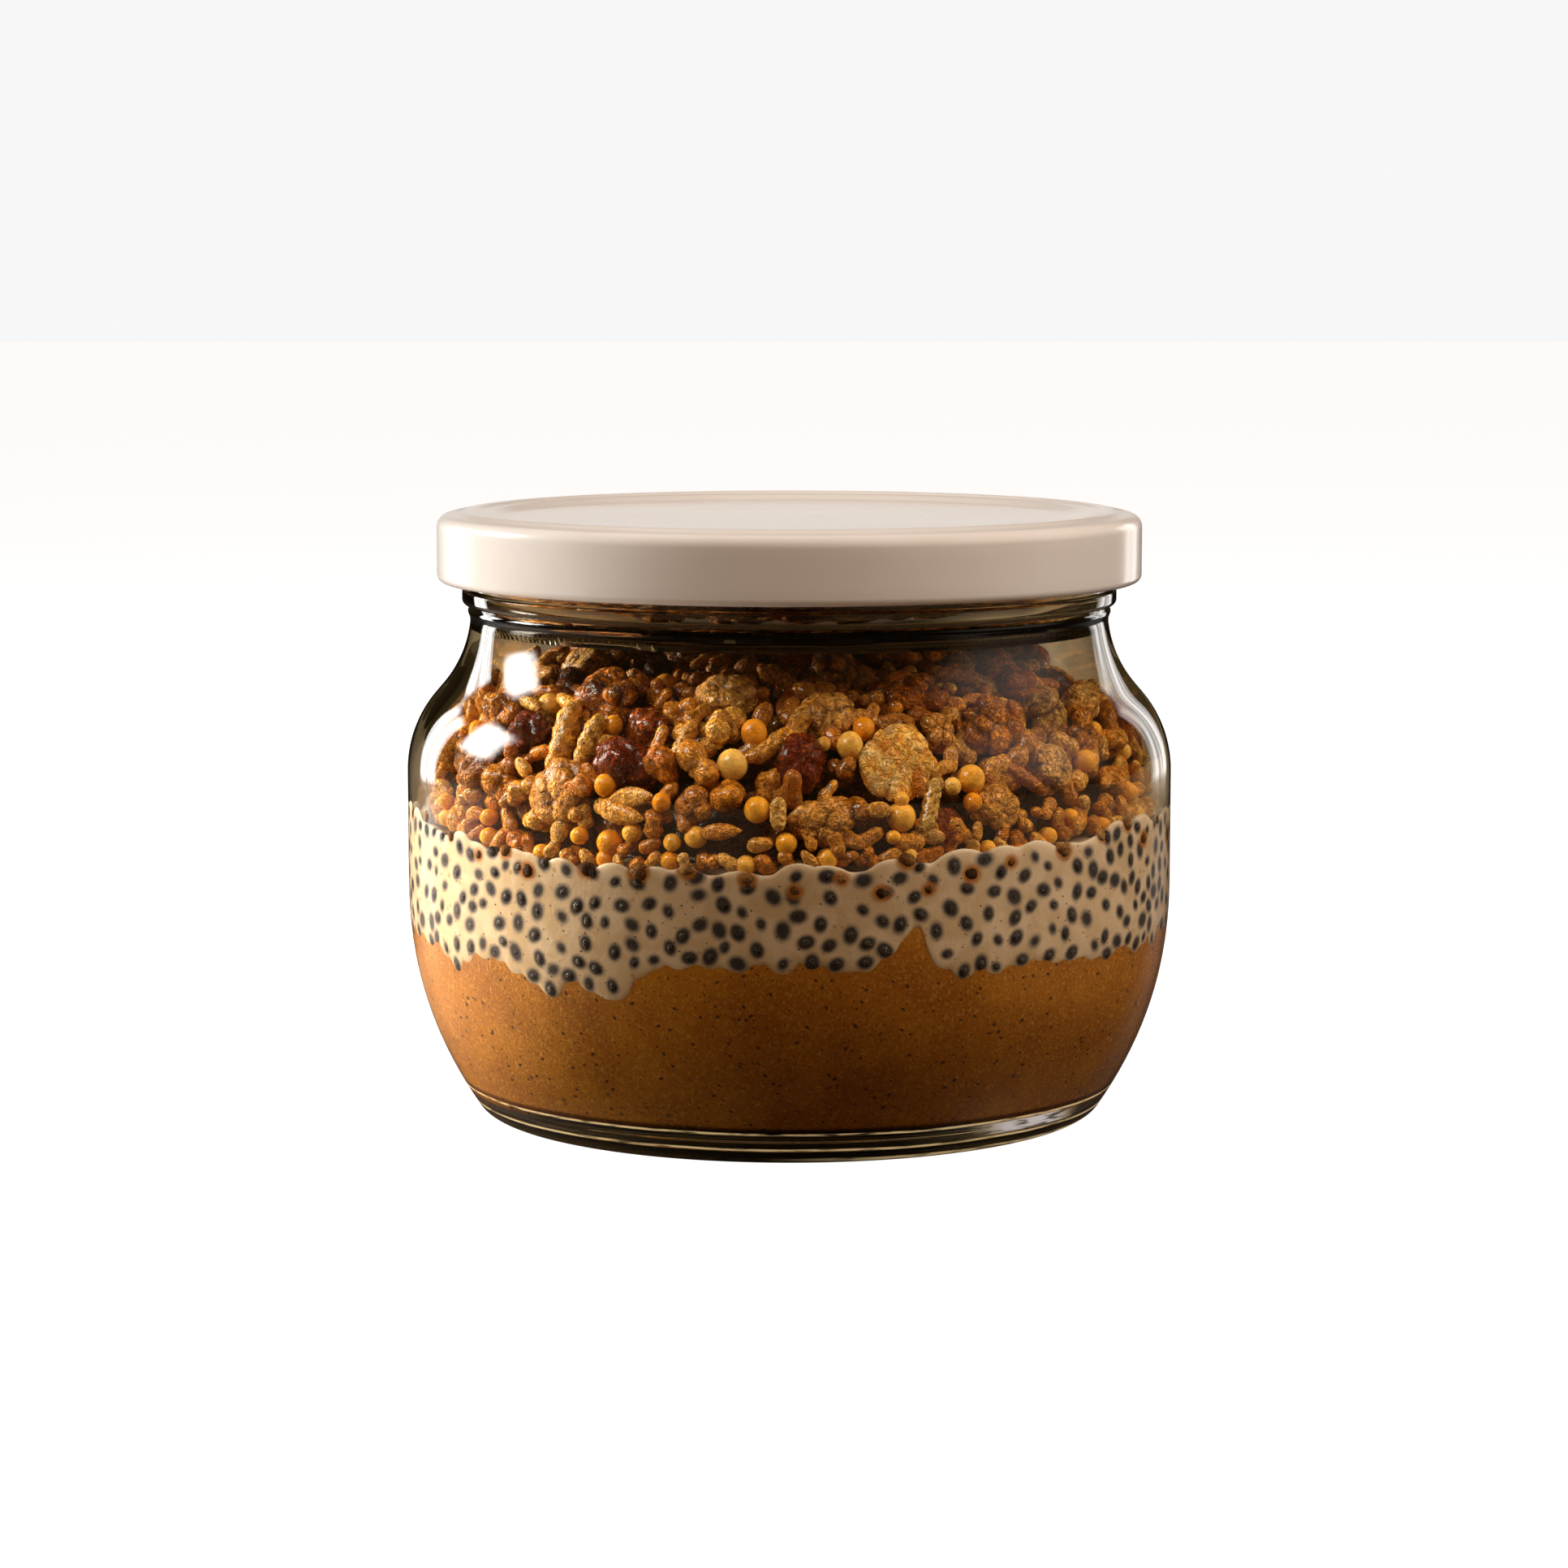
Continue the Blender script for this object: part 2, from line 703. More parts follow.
def ring_faces(rings: int, sides: int) -> Array:
    """Joins rings of points into a closed skin, with a point at each end.

    Args:
        rings: how many full rings.
        sides: points in a ring.

    Returns:
        Triangles; point 0 is the first end, point 1 the last, then the rings in order.
    """
    side = np.arange(sides)
    after = (side + 1) % sides
    first = 2 + side
    last = 2 + (rings - 1) * sides
    parts = [
        np.stack([np.zeros_like(side), 2 + after, first], axis=1),
        np.stack([np.ones_like(side), last + side, last + after], axis=1),
    ]
    for ring in range(rings - 1):
        low, high = 2 + ring * sides, 2 + (ring + 1) * sides
        parts.append(np.stack([low + side, low + after, high + after], axis=1))
        parts.append(np.stack([low + side, high + after, high + side], axis=1))
    return np.concatenate(parts)


def turned(outline: Array, azimuths: Array) -> tuple[Array, Array]:
    """Turns an outline about Z.

    Args:
        outline: radius and height from axis to axis; a third dimension may vary by azimuth.
        azimuths: the azimuth of each side, in radians.

    Returns:
        Points and triangles.
    """
    if outline.ndim == 2:
        outline = np.repeat(outline[:, None, :], len(azimuths), axis=1)
    ends = np.array([[0.0, 0.0, outline[0, 0, 1]], [0.0, 0.0, outline[-1, 0, 1]]])
    rings = around_axis(outline[1:-1, :, 0], outline[1:-1, :, 1], azimuths)
    points = np.concatenate([ends, rings.reshape(-1, 3)])
    return points, ring_faces(len(outline) - 2, len(azimuths))


class Pen:
    """Walks along an outline; headings count in degrees from outward, 90 is up."""

    def __init__(self, radius: float, height: float, heading: float) -> None:
        """Sets the pen down at a radius and height, with its first heading."""
        self.points = [(radius, height)]
        self.heading = heading

    def line(self, length: float, steps: int = 1) -> "Pen":
        """Walks straight on.

        Args:
            length: how far.
            steps: in how many steps.

        Returns:
            The pen.
        """
        angle = math.radians(self.heading)
        for _ in range(steps):
            radius, height = self.points[-1]
            step = length / steps
            self.points.append((radius + step * math.cos(angle), height + step * math.sin(angle)))
        return self

    def to(self, radius: float, height: float, steps: int = 1) -> "Pen":
        """Walks straight to a place.

        Args:
            radius: its distance from the axis.
            height: its height.
            steps: in how many steps.

        Returns:
            The pen.
        """
        start_radius, start_height = self.points[-1]
        for step in range(1, steps + 1):
            share = step / steps
            self.points.append(
                (
                    start_radius + (radius - start_radius) * share,
                    start_height + (height - start_height) * share,
                )
            )
        return self

    def arc(self, radius: float, turn: float, steps: int) -> "Pen":
        """Walks round an arc; a positive turn bends to the left of the heading.

        Args:
            radius: the arc's radius.
            turn: the turn in degrees.
            steps: in how many steps.

        Returns:
            The pen.
        """
        chord = 2.0 * radius * math.sin(math.radians(abs(turn) / steps / 2.0))
        for _ in range(steps):
            self.heading += turn / steps / 2.0
            self.line(chord)
            self.heading += turn / steps / 2.0
        return self

    def outline(self) -> Array:
        """Gives the points as an array."""
        return np.array(self.points)


@dataclass
class GlassJar:
    """The jar: foot, bulging side, shoulder, neck, bead and finish.

    The neck has a thin ring and, above it, a shallow step that dies out at the bead; what lies on
    the neck is placed by how far below the bead it is.
    """

    body_radius: float = 46.2
    wall: float = 2.2
    shoulder_start: float = 41.5
    shoulder_turn: float = 40.6
    convex_radius: float = 14.0
    slope: float = 1.45
    concave_radius: float = 14.4
    rim_top: float = 71.6
    ring_inner: float = 32.6
    ring_outer: float = 35.8
    push_up: float = 1.1
    push_up_edge: float = 4.0
    ring_slope: tuple[float, float] = (0.8, 0.25)
    heel_radius: float = 2.7
    heel_turn: float = 53.0
    bulge_top: float = 29.1
    bulge_power: float = 2.3
    floor_height: float = 4.2
    floor_radius: float = 31.6
    floor_arc_radius: float = 4.4
    floor_arc_turn: float = 45.0
    inner_bulge_power: float = 2.6
    bead_bottom: float = 61.7
    bead_top: float = 63.5
    bead_flat: float = 0.35
    bead_round: float = 0.65
    bead_top_round: float = 0.5
    finish_radius: float = 38.9
    thread_radius: float = 39.8
    thread_heights: tuple[float, float, float, float] = (66.0, 67.0, 67.9, 68.9)
    rim_outer: float = 38.5
    rim_inner: float = 36.6
    rim_round: float = 0.8
    rim_inner_round: float = 0.6
    neck_span: Span = (3.0, 0.2)
    neck_steps: int = 24
    ring_height: float = 0.26
    ring_below: float = 1.0
    ring_half: float = 0.50
    step_height: float = 0.10
    step_below: float = 2.9
    step_rise: float = 0.5
    step_fade: float = 0.8
    sides: int = 256

    def __post_init__(self) -> None:
        """Works out the inner wall once."""
        self.inner = self.inner_side()

    def bulge(self, pen: Pen, end_radius: float, power: float, steps: int) -> None:
        """Walks up the bulging side to the straight body.

        Args:
            pen: the pen, at the top of the heel.
            end_radius: the body's radius.
            power: how round the bulge is.
            steps: in how many steps.
        """
        start_radius, start_height = pen.points[-1]
        for step in range(1, steps + 1):
            share = step / steps
            radius = start_radius + (end_radius - start_radius) * (1.0 - (1.0 - share) ** power)
            pen.points.append((radius, start_height + (self.bulge_top - start_height) * share))

    def shoulder(self, pen: Pen, offset: float) -> None:
        """Walks up the straight body and the shoulder to the neck.

        Args:
            pen: the pen, at the top of the bulge.
            offset: how far inside the outer surface.
        """
        pen.to(self.body_radius - offset, self.shoulder_start, 4)
        pen.heading = 90.0
        pen.arc(self.convex_radius - offset, self.shoulder_turn, 16)
        pen.line(self.slope, 2)
        pen.arc(self.concave_radius + offset, -self.shoulder_turn, 16)

    def outer_side(self) -> Pen:
        """Gives the outer side from the standing ring to the neck.

        Returns:
            The pen, at the neck.
        """
        pen = Pen(self.ring_outer, 0.0, 0.0).arc(self.heel_radius, self.heel_turn, 8)
        self.bulge(pen, self.body_radius, self.bulge_power, 20)
        self.shoulder(pen, 0.0)
        return pen

    def inner_side(self) -> Array:
        """Gives the inner side from the floor to the neck.

        Returns:
            Radius and height of each point.
        """
        pen = Pen(self.floor_radius, self.floor_height, 0.0)
        pen.arc(self.floor_arc_radius, self.floor_arc_turn, 8)
        self.bulge(pen, self.body_radius - self.wall, self.inner_bulge_power, 16)
        self.shoulder(pen, self.wall)
        return pen.outline()

    def inner_radius(self, height: Array | float) -> Array:
        """Gives the radius of the inner wall at a height."""
        return np.interp(height, self.inner[:, 1], self.inner[:, 0])

    def outline(self) -> Array:
        """Gives the whole outline from the underside round to the inner floor.

        Returns:
            Radius and height of each point.
        """
        pen = Pen(0.0, self.push_up, 0.0)
        pen.to(self.ring_inner - self.push_up_edge, self.push_up, 4)
        run, rise = self.ring_slope
        pen.to(self.ring_inner - run, rise, 4)
        pen.to(self.ring_inner, 0.0)
        pen.points.extend(self.outer_side().points)
        neck = pen.points[-1][0]
        for below in np.linspace(*self.neck_span, self.neck_steps):
            ring = self.ring_height * math.exp(-(((below - self.ring_below) / self.ring_half) ** 2))
            grown = min(max((self.step_below - below) / self.step_rise, 0.0), 1.0)
            step = self.step_height * grown * min(below / self.step_fade, 1.0)
            pen.to(neck + ring + step, self.bead_bottom - below)
        pen.heading = 0.0
        pen.line(self.bead_flat).arc(self.bead_round, 90.0, 6)
        pen.to(pen.points[-1][0], self.bead_top - self.bead_top_round, 2)
        pen.arc(self.bead_top_round, 90.0, 5)
        pen.to(self.finish_radius, self.bead_top + 0.1)
        foot, low, high, end = self.thread_heights
        pen.to(self.finish_radius, foot, 3)
        pen.to(self.thread_radius, low, 3)
        pen.to(self.thread_radius, high, 2)
        pen.to(self.finish_radius, end, 3)
        pen.to(self.rim_outer, self.rim_top - self.rim_round, 2)
        pen.heading = 90.0
        pen.arc(self.rim_round, 90.0, 5)
        pen.to(self.rim_inner + self.rim_inner_round, self.rim_top, 2)
        pen.arc(self.rim_inner_round, 90.0, 4)
        points = pen.points + [tuple(point) for point in self.inner[::-1]]
        points += [(self.floor_radius * share, self.floor_height) for share in (0.75, 0.5, 0.25, 0.0)]
        return np.array(points)

    def build(self) -> None:
        """Builds the glass over its solid."""
        azimuths = even_turns(self.sides)
        sheet = Sheet()
        sheet.add(*turned(self.outline(), azimuths))
        glass = sheet.piece("jar_clear_glass", "glass", ClearGlass().material())
        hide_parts("jar_glass")


@dataclass
class TwistLid:
    """The painted lid: skirt with a rolled edge, raised ring, sunk panel."""

    radius: float = 42.45
    bottom: float = 64.3
    height: float = 72.77
    thickness: float = 0.7
    curl: float = 0.85
    crest_outer: float = 39.8
    crest_inner: float = 37.3
    crest_drop: float = 0.25
    panel_radius: float = 34.0
    panel_depth: float = 0.95
    panel_edge: float = 1.0
    rest: float = 0.3
    rounding: float = 1.5
    rounding_top: float = 72.3
    sides: int = 224

    def crest(self) -> list[tuple[float, float]]:
        """Gives the raised ring as a smooth hump between its inner and outer edge.

        Returns:
            Radius and height of each point.
        """
        middle = (self.crest_inner + self.crest_outer) / 2.0
        half = (self.crest_outer - self.crest_inner) / 2.0
        shares = np.linspace(-1.0, 1.0, 11)
        return [(middle + half * s, self.height - self.crest_drop * s * s) for s in shares]

    def outline(self, rim_top: float) -> Array:
        """Gives the closed section from the underside to the top.

        Args:
            rim_top: height of the jar's rim.

        Returns:
            Radius and height of each point.
        """
        panel_top = self.height - self.panel_depth
        pen = Pen(0.0, panel_top, 0.0)
        pen.to(self.panel_radius - self.panel_edge, panel_top, 6)
        slope = np.linspace(0.0, 1.0, 9)[1:-1]
        rise = self.panel_depth - self.crest_drop
        run = self.crest_inner - self.panel_radius + self.panel_edge
        for share in slope:
            smooth = share * share * (3.0 - 2.0 * share)
            radius = self.panel_radius - self.panel_edge + run * share
            pen.points.append((radius, panel_top + rise * smooth))
        pen.points.extend(self.crest())
        pen.to(self.radius - self.rounding, self.rounding_top, 2)
        pen.heading = 0.0
        pen.arc(self.rounding, -90.0, 8)
        pen.to(self.radius, self.bottom + self.curl, 4)
        pen.arc(self.curl, -180.0, 12)
        pen.to(self.radius - self.thickness * 2.0, self.bottom + self.curl * 2.2, 2)
        pen.to(self.radius - self.thickness, self.bottom + self.curl * 3.2, 2)
        pen.to(self.radius - self.thickness, self.rounding_top - self.rounding, 2)
        pen.to(self.crest_outer, rim_top + self.rest, 2)
        pen.to(self.crest_inner - self.thickness, rim_top + self.rest, 2)
        pen.to(self.panel_radius + self.thickness / 2.0, panel_top - self.thickness, 2)
        pen.to(0.0, panel_top - self.thickness, 6)
        return pen.outline()[::-1]

    def build(self, rim_top: float) -> None:
        """Builds the lid over its solid.

        Args:
            rim_top: height of the jar's rim.
        """
        azimuths = even_turns(self.sides)
        outline = self.outline(rim_top)
        points, faces = turned(outline, azimuths)
        curl = int(np.argmin(outline[:, 1]))
        rows = np.repeat(np.arange(1, len(outline) - 1), self.sides)
        inside = np.concatenate([[1.0, 0.0], rows < curl - 2])
        sheet = Sheet()
        sheet.add(points, faces, inside=inside)
        lid = sheet.piece("twist_lid", "lid_paint", LidPaint().material())
        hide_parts("lid")


@dataclass(frozen=True)
class Lobe:
    """A rise or dip of a layer's edge: where it is, how high, and half its width in degrees."""

    centre: float
    rise: float
    half_width: float

    def at(self, azimuth: Array) -> Array:
        """Gives the rise at azimuths in radians."""
        away = np.remainder(np.degrees(azimuth) - self.centre + 180.0, 360.0) - 180.0
        return self.rise * np.exp(-((away / self.half_width) ** 2))


@dataclass
class Layers:
    """Where the layers meet: the seam of oats and pudding, and the pudding's upper edge."""

    jar: GlassJar
    seam_inside: float = 23.0
    pudding_inside: float = 36.2
    seam_base: float = 22.2
    pudding_base: float = 36.6
    blend: float = 9.0
    seam_lobes: tuple[Lobe, ...] = (
        Lobe(-2.0, 1.7, 22.0),
        Lobe(18.7, 5.6, 4.5),
        Lobe(-27.8, -4.2, 4.2),
        Lobe(-38.6, -2.9, 3.6),
        Lobe(-60.0, -1.9, 5.0),
        Lobe(23.6, -1.4, 3.0),
        Lobe(-100.0, 2.2, 6.0),
        Lobe(-128.0, -2.6, 6.0),
        Lobe(-155.0, 2.4, 5.0),
        Lobe(178.0, -2.8, 5.0),
        Lobe(150.0, 2.6, 6.0),
        Lobe(122.0, -2.2, 5.0),
        Lobe(96.0, 1.4, 8.0),
    )
    pudding_waves: tuple[Lobe, ...] = (
        Lobe(-25.0, -1.6, 22.0),
        Lobe(-78.0, 1.6, 12.0),
        Lobe(66.0, 1.3, 20.0),
        Lobe(5.0, -0.9, 14.0),
        Lobe(110.0, -1.2, 14.0),
        Lobe(165.0, 0.9, 16.0),
        Lobe(-130.0, -0.9, 18.0),
    )

    def seam(self, azimuth: Array) -> Array:
        """Gives the seam's height at the wall."""
        return self.seam_base + sum(lobe.at(azimuth) for lobe in self.seam_lobes)

    def pudding_top(self, azimuth: Array) -> Array:
        """Gives the height of the pudding's upper edge at the wall."""
        return self.pudding_base + sum(wave.at(azimuth) for wave in self.pudding_waves)

    def level(self, edge: Array, inside: float, radius: Array) -> Array:
        """Gives a level's height at a radius, between its edge at the wall and its flat inside."""
        from_wall = self.jar.body_radius - self.jar.wall - radius
        return inside + (edge - inside) * np.exp(-((from_wall / self.blend) ** 2))

    def rows(self, radii: Sequence[float], edge: Array, inside: float, lift: float = 0.0) -> Array:
        """Gives a level as rows of radius and height, one for each radius.

        Args:
            radii: the radii.
            edge: its height at the wall.
            inside: its height towards the axis.
            lift: how far all of it is raised.

        Returns:
            The rows.
        """
        across = np.array(radii)[:, None]
        heights = self.level(edge, inside, across) + lift
        return np.stack([np.broadcast_to(across, heights.shape), heights], axis=2)


def closed(rows: Sequence[Array], bottom: float, top: float) -> Array:
    """Closes rows of radius and height with a point on the axis at each end.

    Args:
        rows: blocks of rows, from the bottom round to the top.
        bottom: height of the first point.
        top: height of the last point.

    Returns:
        The closed outline for each azimuth.
    """
    ends = np.zeros((2, rows[0].shape[1], 2))
    ends[0, :, 1] = bottom
    ends[1, :, 1] = top
    return np.concatenate([ends[:1], *rows, ends[1:]])


def discs_edge(places: Array, azimuths: Array, radius: float, start: Array, upward: bool) -> Array:
    """Moves an edge out round discs, so that it is scalloped like touching drops.

    Args:
        places: azimuth, height and radius of each disc.
        azimuths: where the edge is wanted.
        radius: the wall's radius, which turns azimuths into lengths.
        start: the edge without discs.
        upward: True for an upper edge.

    Returns:
        The edge's height.
    """
    edge = start.copy()
    for azimuth, height, size in places:
        away = np.abs(signed(azimuths - azimuth)) * radius
        reach = np.sqrt(np.clip(size**2 - away**2, 0.0, None))
        near = away < size
        if upward:
            edge[near] = np.maximum(edge[near], (height + reach)[near])
        else:
            edge[near] = np.minimum(edge[near], (height - reach)[near])
    return edge


def softened(edge: Array, steps: int) -> Array:
    """Rounds the corners of a closed edge.

    Args:
        edge: its height all the way round.
        steps: how often each point moves to the mean of its neighbours.

    Returns:
        The softer edge.
    """
    for _ in range(steps):
        edge = (np.roll(edge, 1) + 2.0 * edge + np.roll(edge, -1)) / 4.0
    return edge


def spread(
    rng: np.random.Generator, count: int, draw: Callable[[], tuple[float, ...]], gap: float, radius: float
) -> Array:
    """Scatters places on the wall that keep a distance.

    Args:
        rng: the random source.
        count: how many are tried.
        draw: gives azimuth, height and any further numbers.
        gap: the least distance.
        radius: the wall's radius.

    Returns:
        The places that fit, one row each.
    """
    kept = np.empty((0, len(draw())))
    for _ in range(count):
        place = np.array(draw())
        around = np.abs(signed(kept[:, 0] - place[0]))
        distance = np.hypot(around * radius, kept[:, 1] - place[1])
        if not (distance < gap * rng.uniform(0.85, 1.15)).any():
            kept = np.vstack([kept, place])
    return kept


@dataclass
class Oats:
    """The lowest layer, pressed against the floor and the wall."""

    layers: Layers
    reach: float = 0.12
    overlap: float = 1.6
    sides: int = 360

    def build(self) -> None:
        """Builds the layer; it reaches a little into the glass so that no air shows."""
        jar = self.layers.jar
        azimuths = even_turns(self.sides)
        edge = self.layers.seam(azimuths) + self.overlap
        floor = jar.floor_height - self.reach
        low = jar.inner[jar.inner[:, 1] < jar.floor_height + 2.0]
        foot = np.repeat((low + (self.reach, -self.reach))[:, None, :], self.sides, axis=1)
        foot[:, :, 1] = np.maximum(foot[:, :, 1], floor)
        start = foot[-1, :, 1]
        shares = np.linspace(0.0, 1.0, 30)[1:, None]
        heights = start + (edge - start) * shares
        wall = np.stack([jar.inner_radius(heights) + self.reach, heights], axis=2)
        top = self.layers.rows((42.0, 38.0, 32.0, 20.0), edge, self.layers.seam_inside, -0.2)
        flat = np.stack([np.full(self.sides, 18.0), np.full(self.sides, floor)], axis=1)[None]
        sheet = Sheet()
        sheet.add(*turned(closed([flat, foot, wall, top], floor, self.layers.seam_inside), azimuths))
        oats = sheet.piece("smooth_oats_layer", "oats", SmoothOats().material())
        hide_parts("peanut_butter_oats")


@dataclass
class Pudding:
    """The cream layer with its seeds, and the crumbs that sank into its upper edge."""

    layers: Layers
    reach: float = 0.24
    sides: int = 1200
    rows: int = 64
    seed_tries: int = 12000
    seed_gap: float = 2.3
    crumb_tries: int = 420
    crumb_gap: float = 4.4
    drop_tries: int = 500
    drop_gap: float = 2.6
    wave_count: int = 54
    seed_length: float = 0.75
    seed_width: float = 0.59
    halo: float = 0.64
    drops: tuple[tuple[float, float, float], ...] = (
        (-27.6, 21.9, 2.3),
        (-38.9, 21.4, 1.8),
        (-44.6, 22.4, 1.7),
        (-33.6, 25.4, 2.6),
        (23.4, 24.9, 2.1),
        (34.5, 25.2, 2.6),
        (8.6, 25.4, 2.4),
        (-14.0, 26.4, 2.6),
    )

    def __post_init__(self) -> None:
        """Scatters seeds, crumbs and edge drops, and works out both edges."""
        self.rng = np.random.default_rng(11)
        self.radius = self.layers.jar.body_radius - self.layers.jar.wall
        self.azimuths = even_turns(self.sides)
        self.seeds = spread(self.rng, self.seed_tries, self._seed_place, self.seed_gap, self.radius)
        self.crumbs = spread(self.rng, self.crumb_tries, self._crumb_place, self.crumb_gap, self.radius)
        self.lower = self._lower_edge()
        self.upper = self._upper_edge()

    def _seed_place(self) -> tuple[float, ...]:
        """Draws a place for a seed.

        Returns:
            Its azimuth, height, depth under the skin, size and turn.
        """
        azimuth = self.rng.uniform(-math.pi, math.pi)
        low = float(self.layers.seam(np.array(azimuth))) + 0.5
        high = float(self.layers.pudding_top(np.array(azimuth))) - 1.0
        depth = self.rng.choice([0.0, 0.2, 0.4, 0.7], p=[0.50, 0.22, 0.16, 0.12])
        size = self.rng.choice([self.rng.uniform(0.55, 0.75), self.rng.uniform(0.85, 1.2)], p=[0.2, 0.8])
        return azimuth, self.rng.uniform(low, high), depth, size, self.rng.uniform(0.0, math.pi)

    def _crumb_place(self) -> tuple[float, ...]:
        """Draws a place for a sunk crumb near the upper edge.

        Returns:
            Its azimuth, height and size.
        """
        azimuth = self.rng.uniform(-math.pi, math.pi)
        high = float(self.layers.pudding_top(np.array(azimuth)))
        return azimuth, high - abs(self.rng.normal(0.6, 1.5)), self.rng.uniform(0.6, 1.15)

    def _lower_edge(self) -> Array:
        """Hangs the lower edge round the lowest seeds, in drops of several sizes.

        Returns:
            The edge's height at each azimuth.
        """
        start = self.layers.seam(self.azimuths) + 1.6
        near = self.seeds[:, 1] < self.layers.seam(self.seeds[:, 0]) + 2.4
        sizes = self.rng.uniform(1.15, 1.7, near.sum())
        places = np.column_stack([self.seeds[near, :2], sizes])
        extra = spread(self.rng, self.drop_tries, self._edge_drop, self.drop_gap, self.radius)
        fixed = [(math.radians(azimuth), height, size) for azimuth, height, size in self.drops]
        places = np.vstack([places, extra, fixed])
        edge = discs_edge(places, self.azimuths, self.radius, start, upward=False)
        return softened(edge, 3)

    def _edge_drop(self) -> tuple[float, ...]:
        """Draws a drop of the lower edge.

        Returns:
            Its azimuth, height and radius.
        """
        azimuth = self.rng.uniform(-math.pi, math.pi)
        low = float(self.layers.seam(np.array(azimuth)))
        size = self.rng.uniform(1.4, 3.0)
        return azimuth, low + size + self.rng.uniform(-0.5, 0.5), size

    def _upper_edge(self) -> Array:
        """Lifts the upper edge in low rounded waves.

        Returns:
            The edge's height at each azimuth.
        """
        start = self.layers.pudding_top(self.azimuths) - 0.9
        count = self.wave_count
        turns = (np.arange(count) + self.rng.uniform(-0.4, 0.4, count)) * (TURN / count)
        sizes = self.rng.uniform(2.6, 5.4, count)
        tops = self.layers.pudding_top(turns) + self.rng.uniform(-0.8, 0.5, count)
        places = np.column_stack([turns, tops - sizes, sizes])
        return softened(discs_edge(places, self.azimuths, self.radius, start, upward=True), 4)

    def _near(self, places: Array, heights: Array, axes: Array, turns: Array, halo: Array) -> Array:
        """Gives soft ovals round places on the wall.

        Args:
            places: azimuth and height of each.
            heights: height of every wall point.
            axes: half length and half width of each oval.
            turns: the turn of each in the wall's plane.
            halo: how far beyond the oval each fades out.

        Returns:
            1 inside, falling to 0, for every wall point.
        """
        amount = np.zeros_like(heights)
        for (azimuth, height), axis, turn, fade in zip(places, axes, turns, halo):
            around = signed(self.azimuths - azimuth)
            columns = np.abs(around) * self.radius < axis.max() + fade
            across = (around[columns] * self.radius)[None, :]
            rise = heights[:, columns] - height
            along = across * math.cos(turn) + rise * math.sin(turn)
            beside = rise * math.cos(turn) - across * math.sin(turn)
            ratio = np.hypot(along / axis[0], beside / axis[1])
            distance = (ratio - 1.0) * axis.mean()
            share = np.clip(1.0 - distance / fade, 0.0, 1.0)
            amount[:, columns] = np.maximum(amount[:, columns], share)
        return amount

    def _skin(self) -> tuple[Array, Array]:
        """Works out every wall point, row by row.

        Returns:
            The heights and the radii.
        """
        shares = np.linspace(0.0, 1.0, self.rows)[:, None]
        heights = self.lower + (self.upper - self.lower) * shares
        inset = 0.34 * (np.exp(-shares * 26.0) + np.exp(-(1.0 - shares) * 26.0))
        return heights, self.layers.jar.inner_radius(heights) + self.reach - inset

    def build_cream(self) -> None:
        """Builds the cream over its solid."""
        heights, radii = self._skin()
        wall = np.stack([radii, heights], axis=2)
        low, high = self.layers.seam_inside + 0.1, self.layers.pudding_inside
        bottom = self.layers.rows((20.0, 32.0, 38.0, 41.0, 43.0), self.lower + 0.4, low)
        top = self.layers.rows((43.3, 42.4, 40.0, 36.0, 30.0, 18.0), self.upper - 0.35, high)
        points, faces = turned(closed([bottom, wall, top], low, high), self.azimuths)
        stored = self._stored(heights, 2 + len(bottom) * self.sides, len(points))
        sheet = Sheet()
        sheet.add(points, faces, **stored)
        cream = sheet.piece("chia_cream_layer", "pudding", ChiaCream().material())
        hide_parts("chia_pudding")

    def _stored(self, heights: Array, start: int, total: int) -> dict[str, Array]:
        """Works out the numbers that colour the skin.

        Args:
            heights: height of every wall point.
            start: the first wall point's place among all points.
            total: how many points there are.

        Returns:
            gel, warm, fringe and rim for every point.
        """
        depth, size, turns = self.seeds[:, 2], self.seeds[:, 3], self.seeds[:, 4]
        axes = np.stack([self.seed_length * size, self.seed_width * size], axis=1)
        gel = self._near(self.seeds[:, :2], heights, axes * 0.92, turns, self.halo * (1.0 + 0.6 * depth))
        crumb = self.crumbs[:, 2]
        round_axes = np.stack([crumb, crumb * 0.9], axis=1)
        warm = self._near(self.crumbs[:, :2], heights, round_axes, crumb * 0.0, crumb * 0.0 + 0.55)
        fringe = np.clip(1.0 - (heights - self.lower) / 1.3, 0.0, 1.0) ** 2
        rim = np.clip(1.0 - (self.upper - heights) / 0.45, 0.0, 1.0)
        stored = {}
        for name, values in (("gel", gel), ("warm", warm), ("fringe", fringe), ("rim", rim)):
            full = np.zeros(total)
            full[start : start + values.size] = values.ravel()
            stored[name] = full
        return stored

    def build_seeds(self) -> None:
        """Sets the seeds in the skin; the deeper ones only show as a dark haze."""
        rng = np.random.default_rng(12)
        shape, faces = ball(11, 7)
        sheet = Sheet()
        for azimuth, height, depth, size, turn in self.seeds:
            scale = np.array([self.seed_length, 0.62, self.seed_width]) * size
            radius = float(self.layers.jar.inner_radius(height)) + self.reach
            centre = radius - 0.42 * size - depth * 0.35
            points = uneven(rng, turn_y(shape * scale, turn), 0.06, 4, (0.5, 1.5))
            sheet.add(at_wall(points, azimuth, centre, height), faces, tone=rng.uniform(0.2, 1.0))
        sheet.piece("chia_seeds", "pudding", SeedCoat().material())

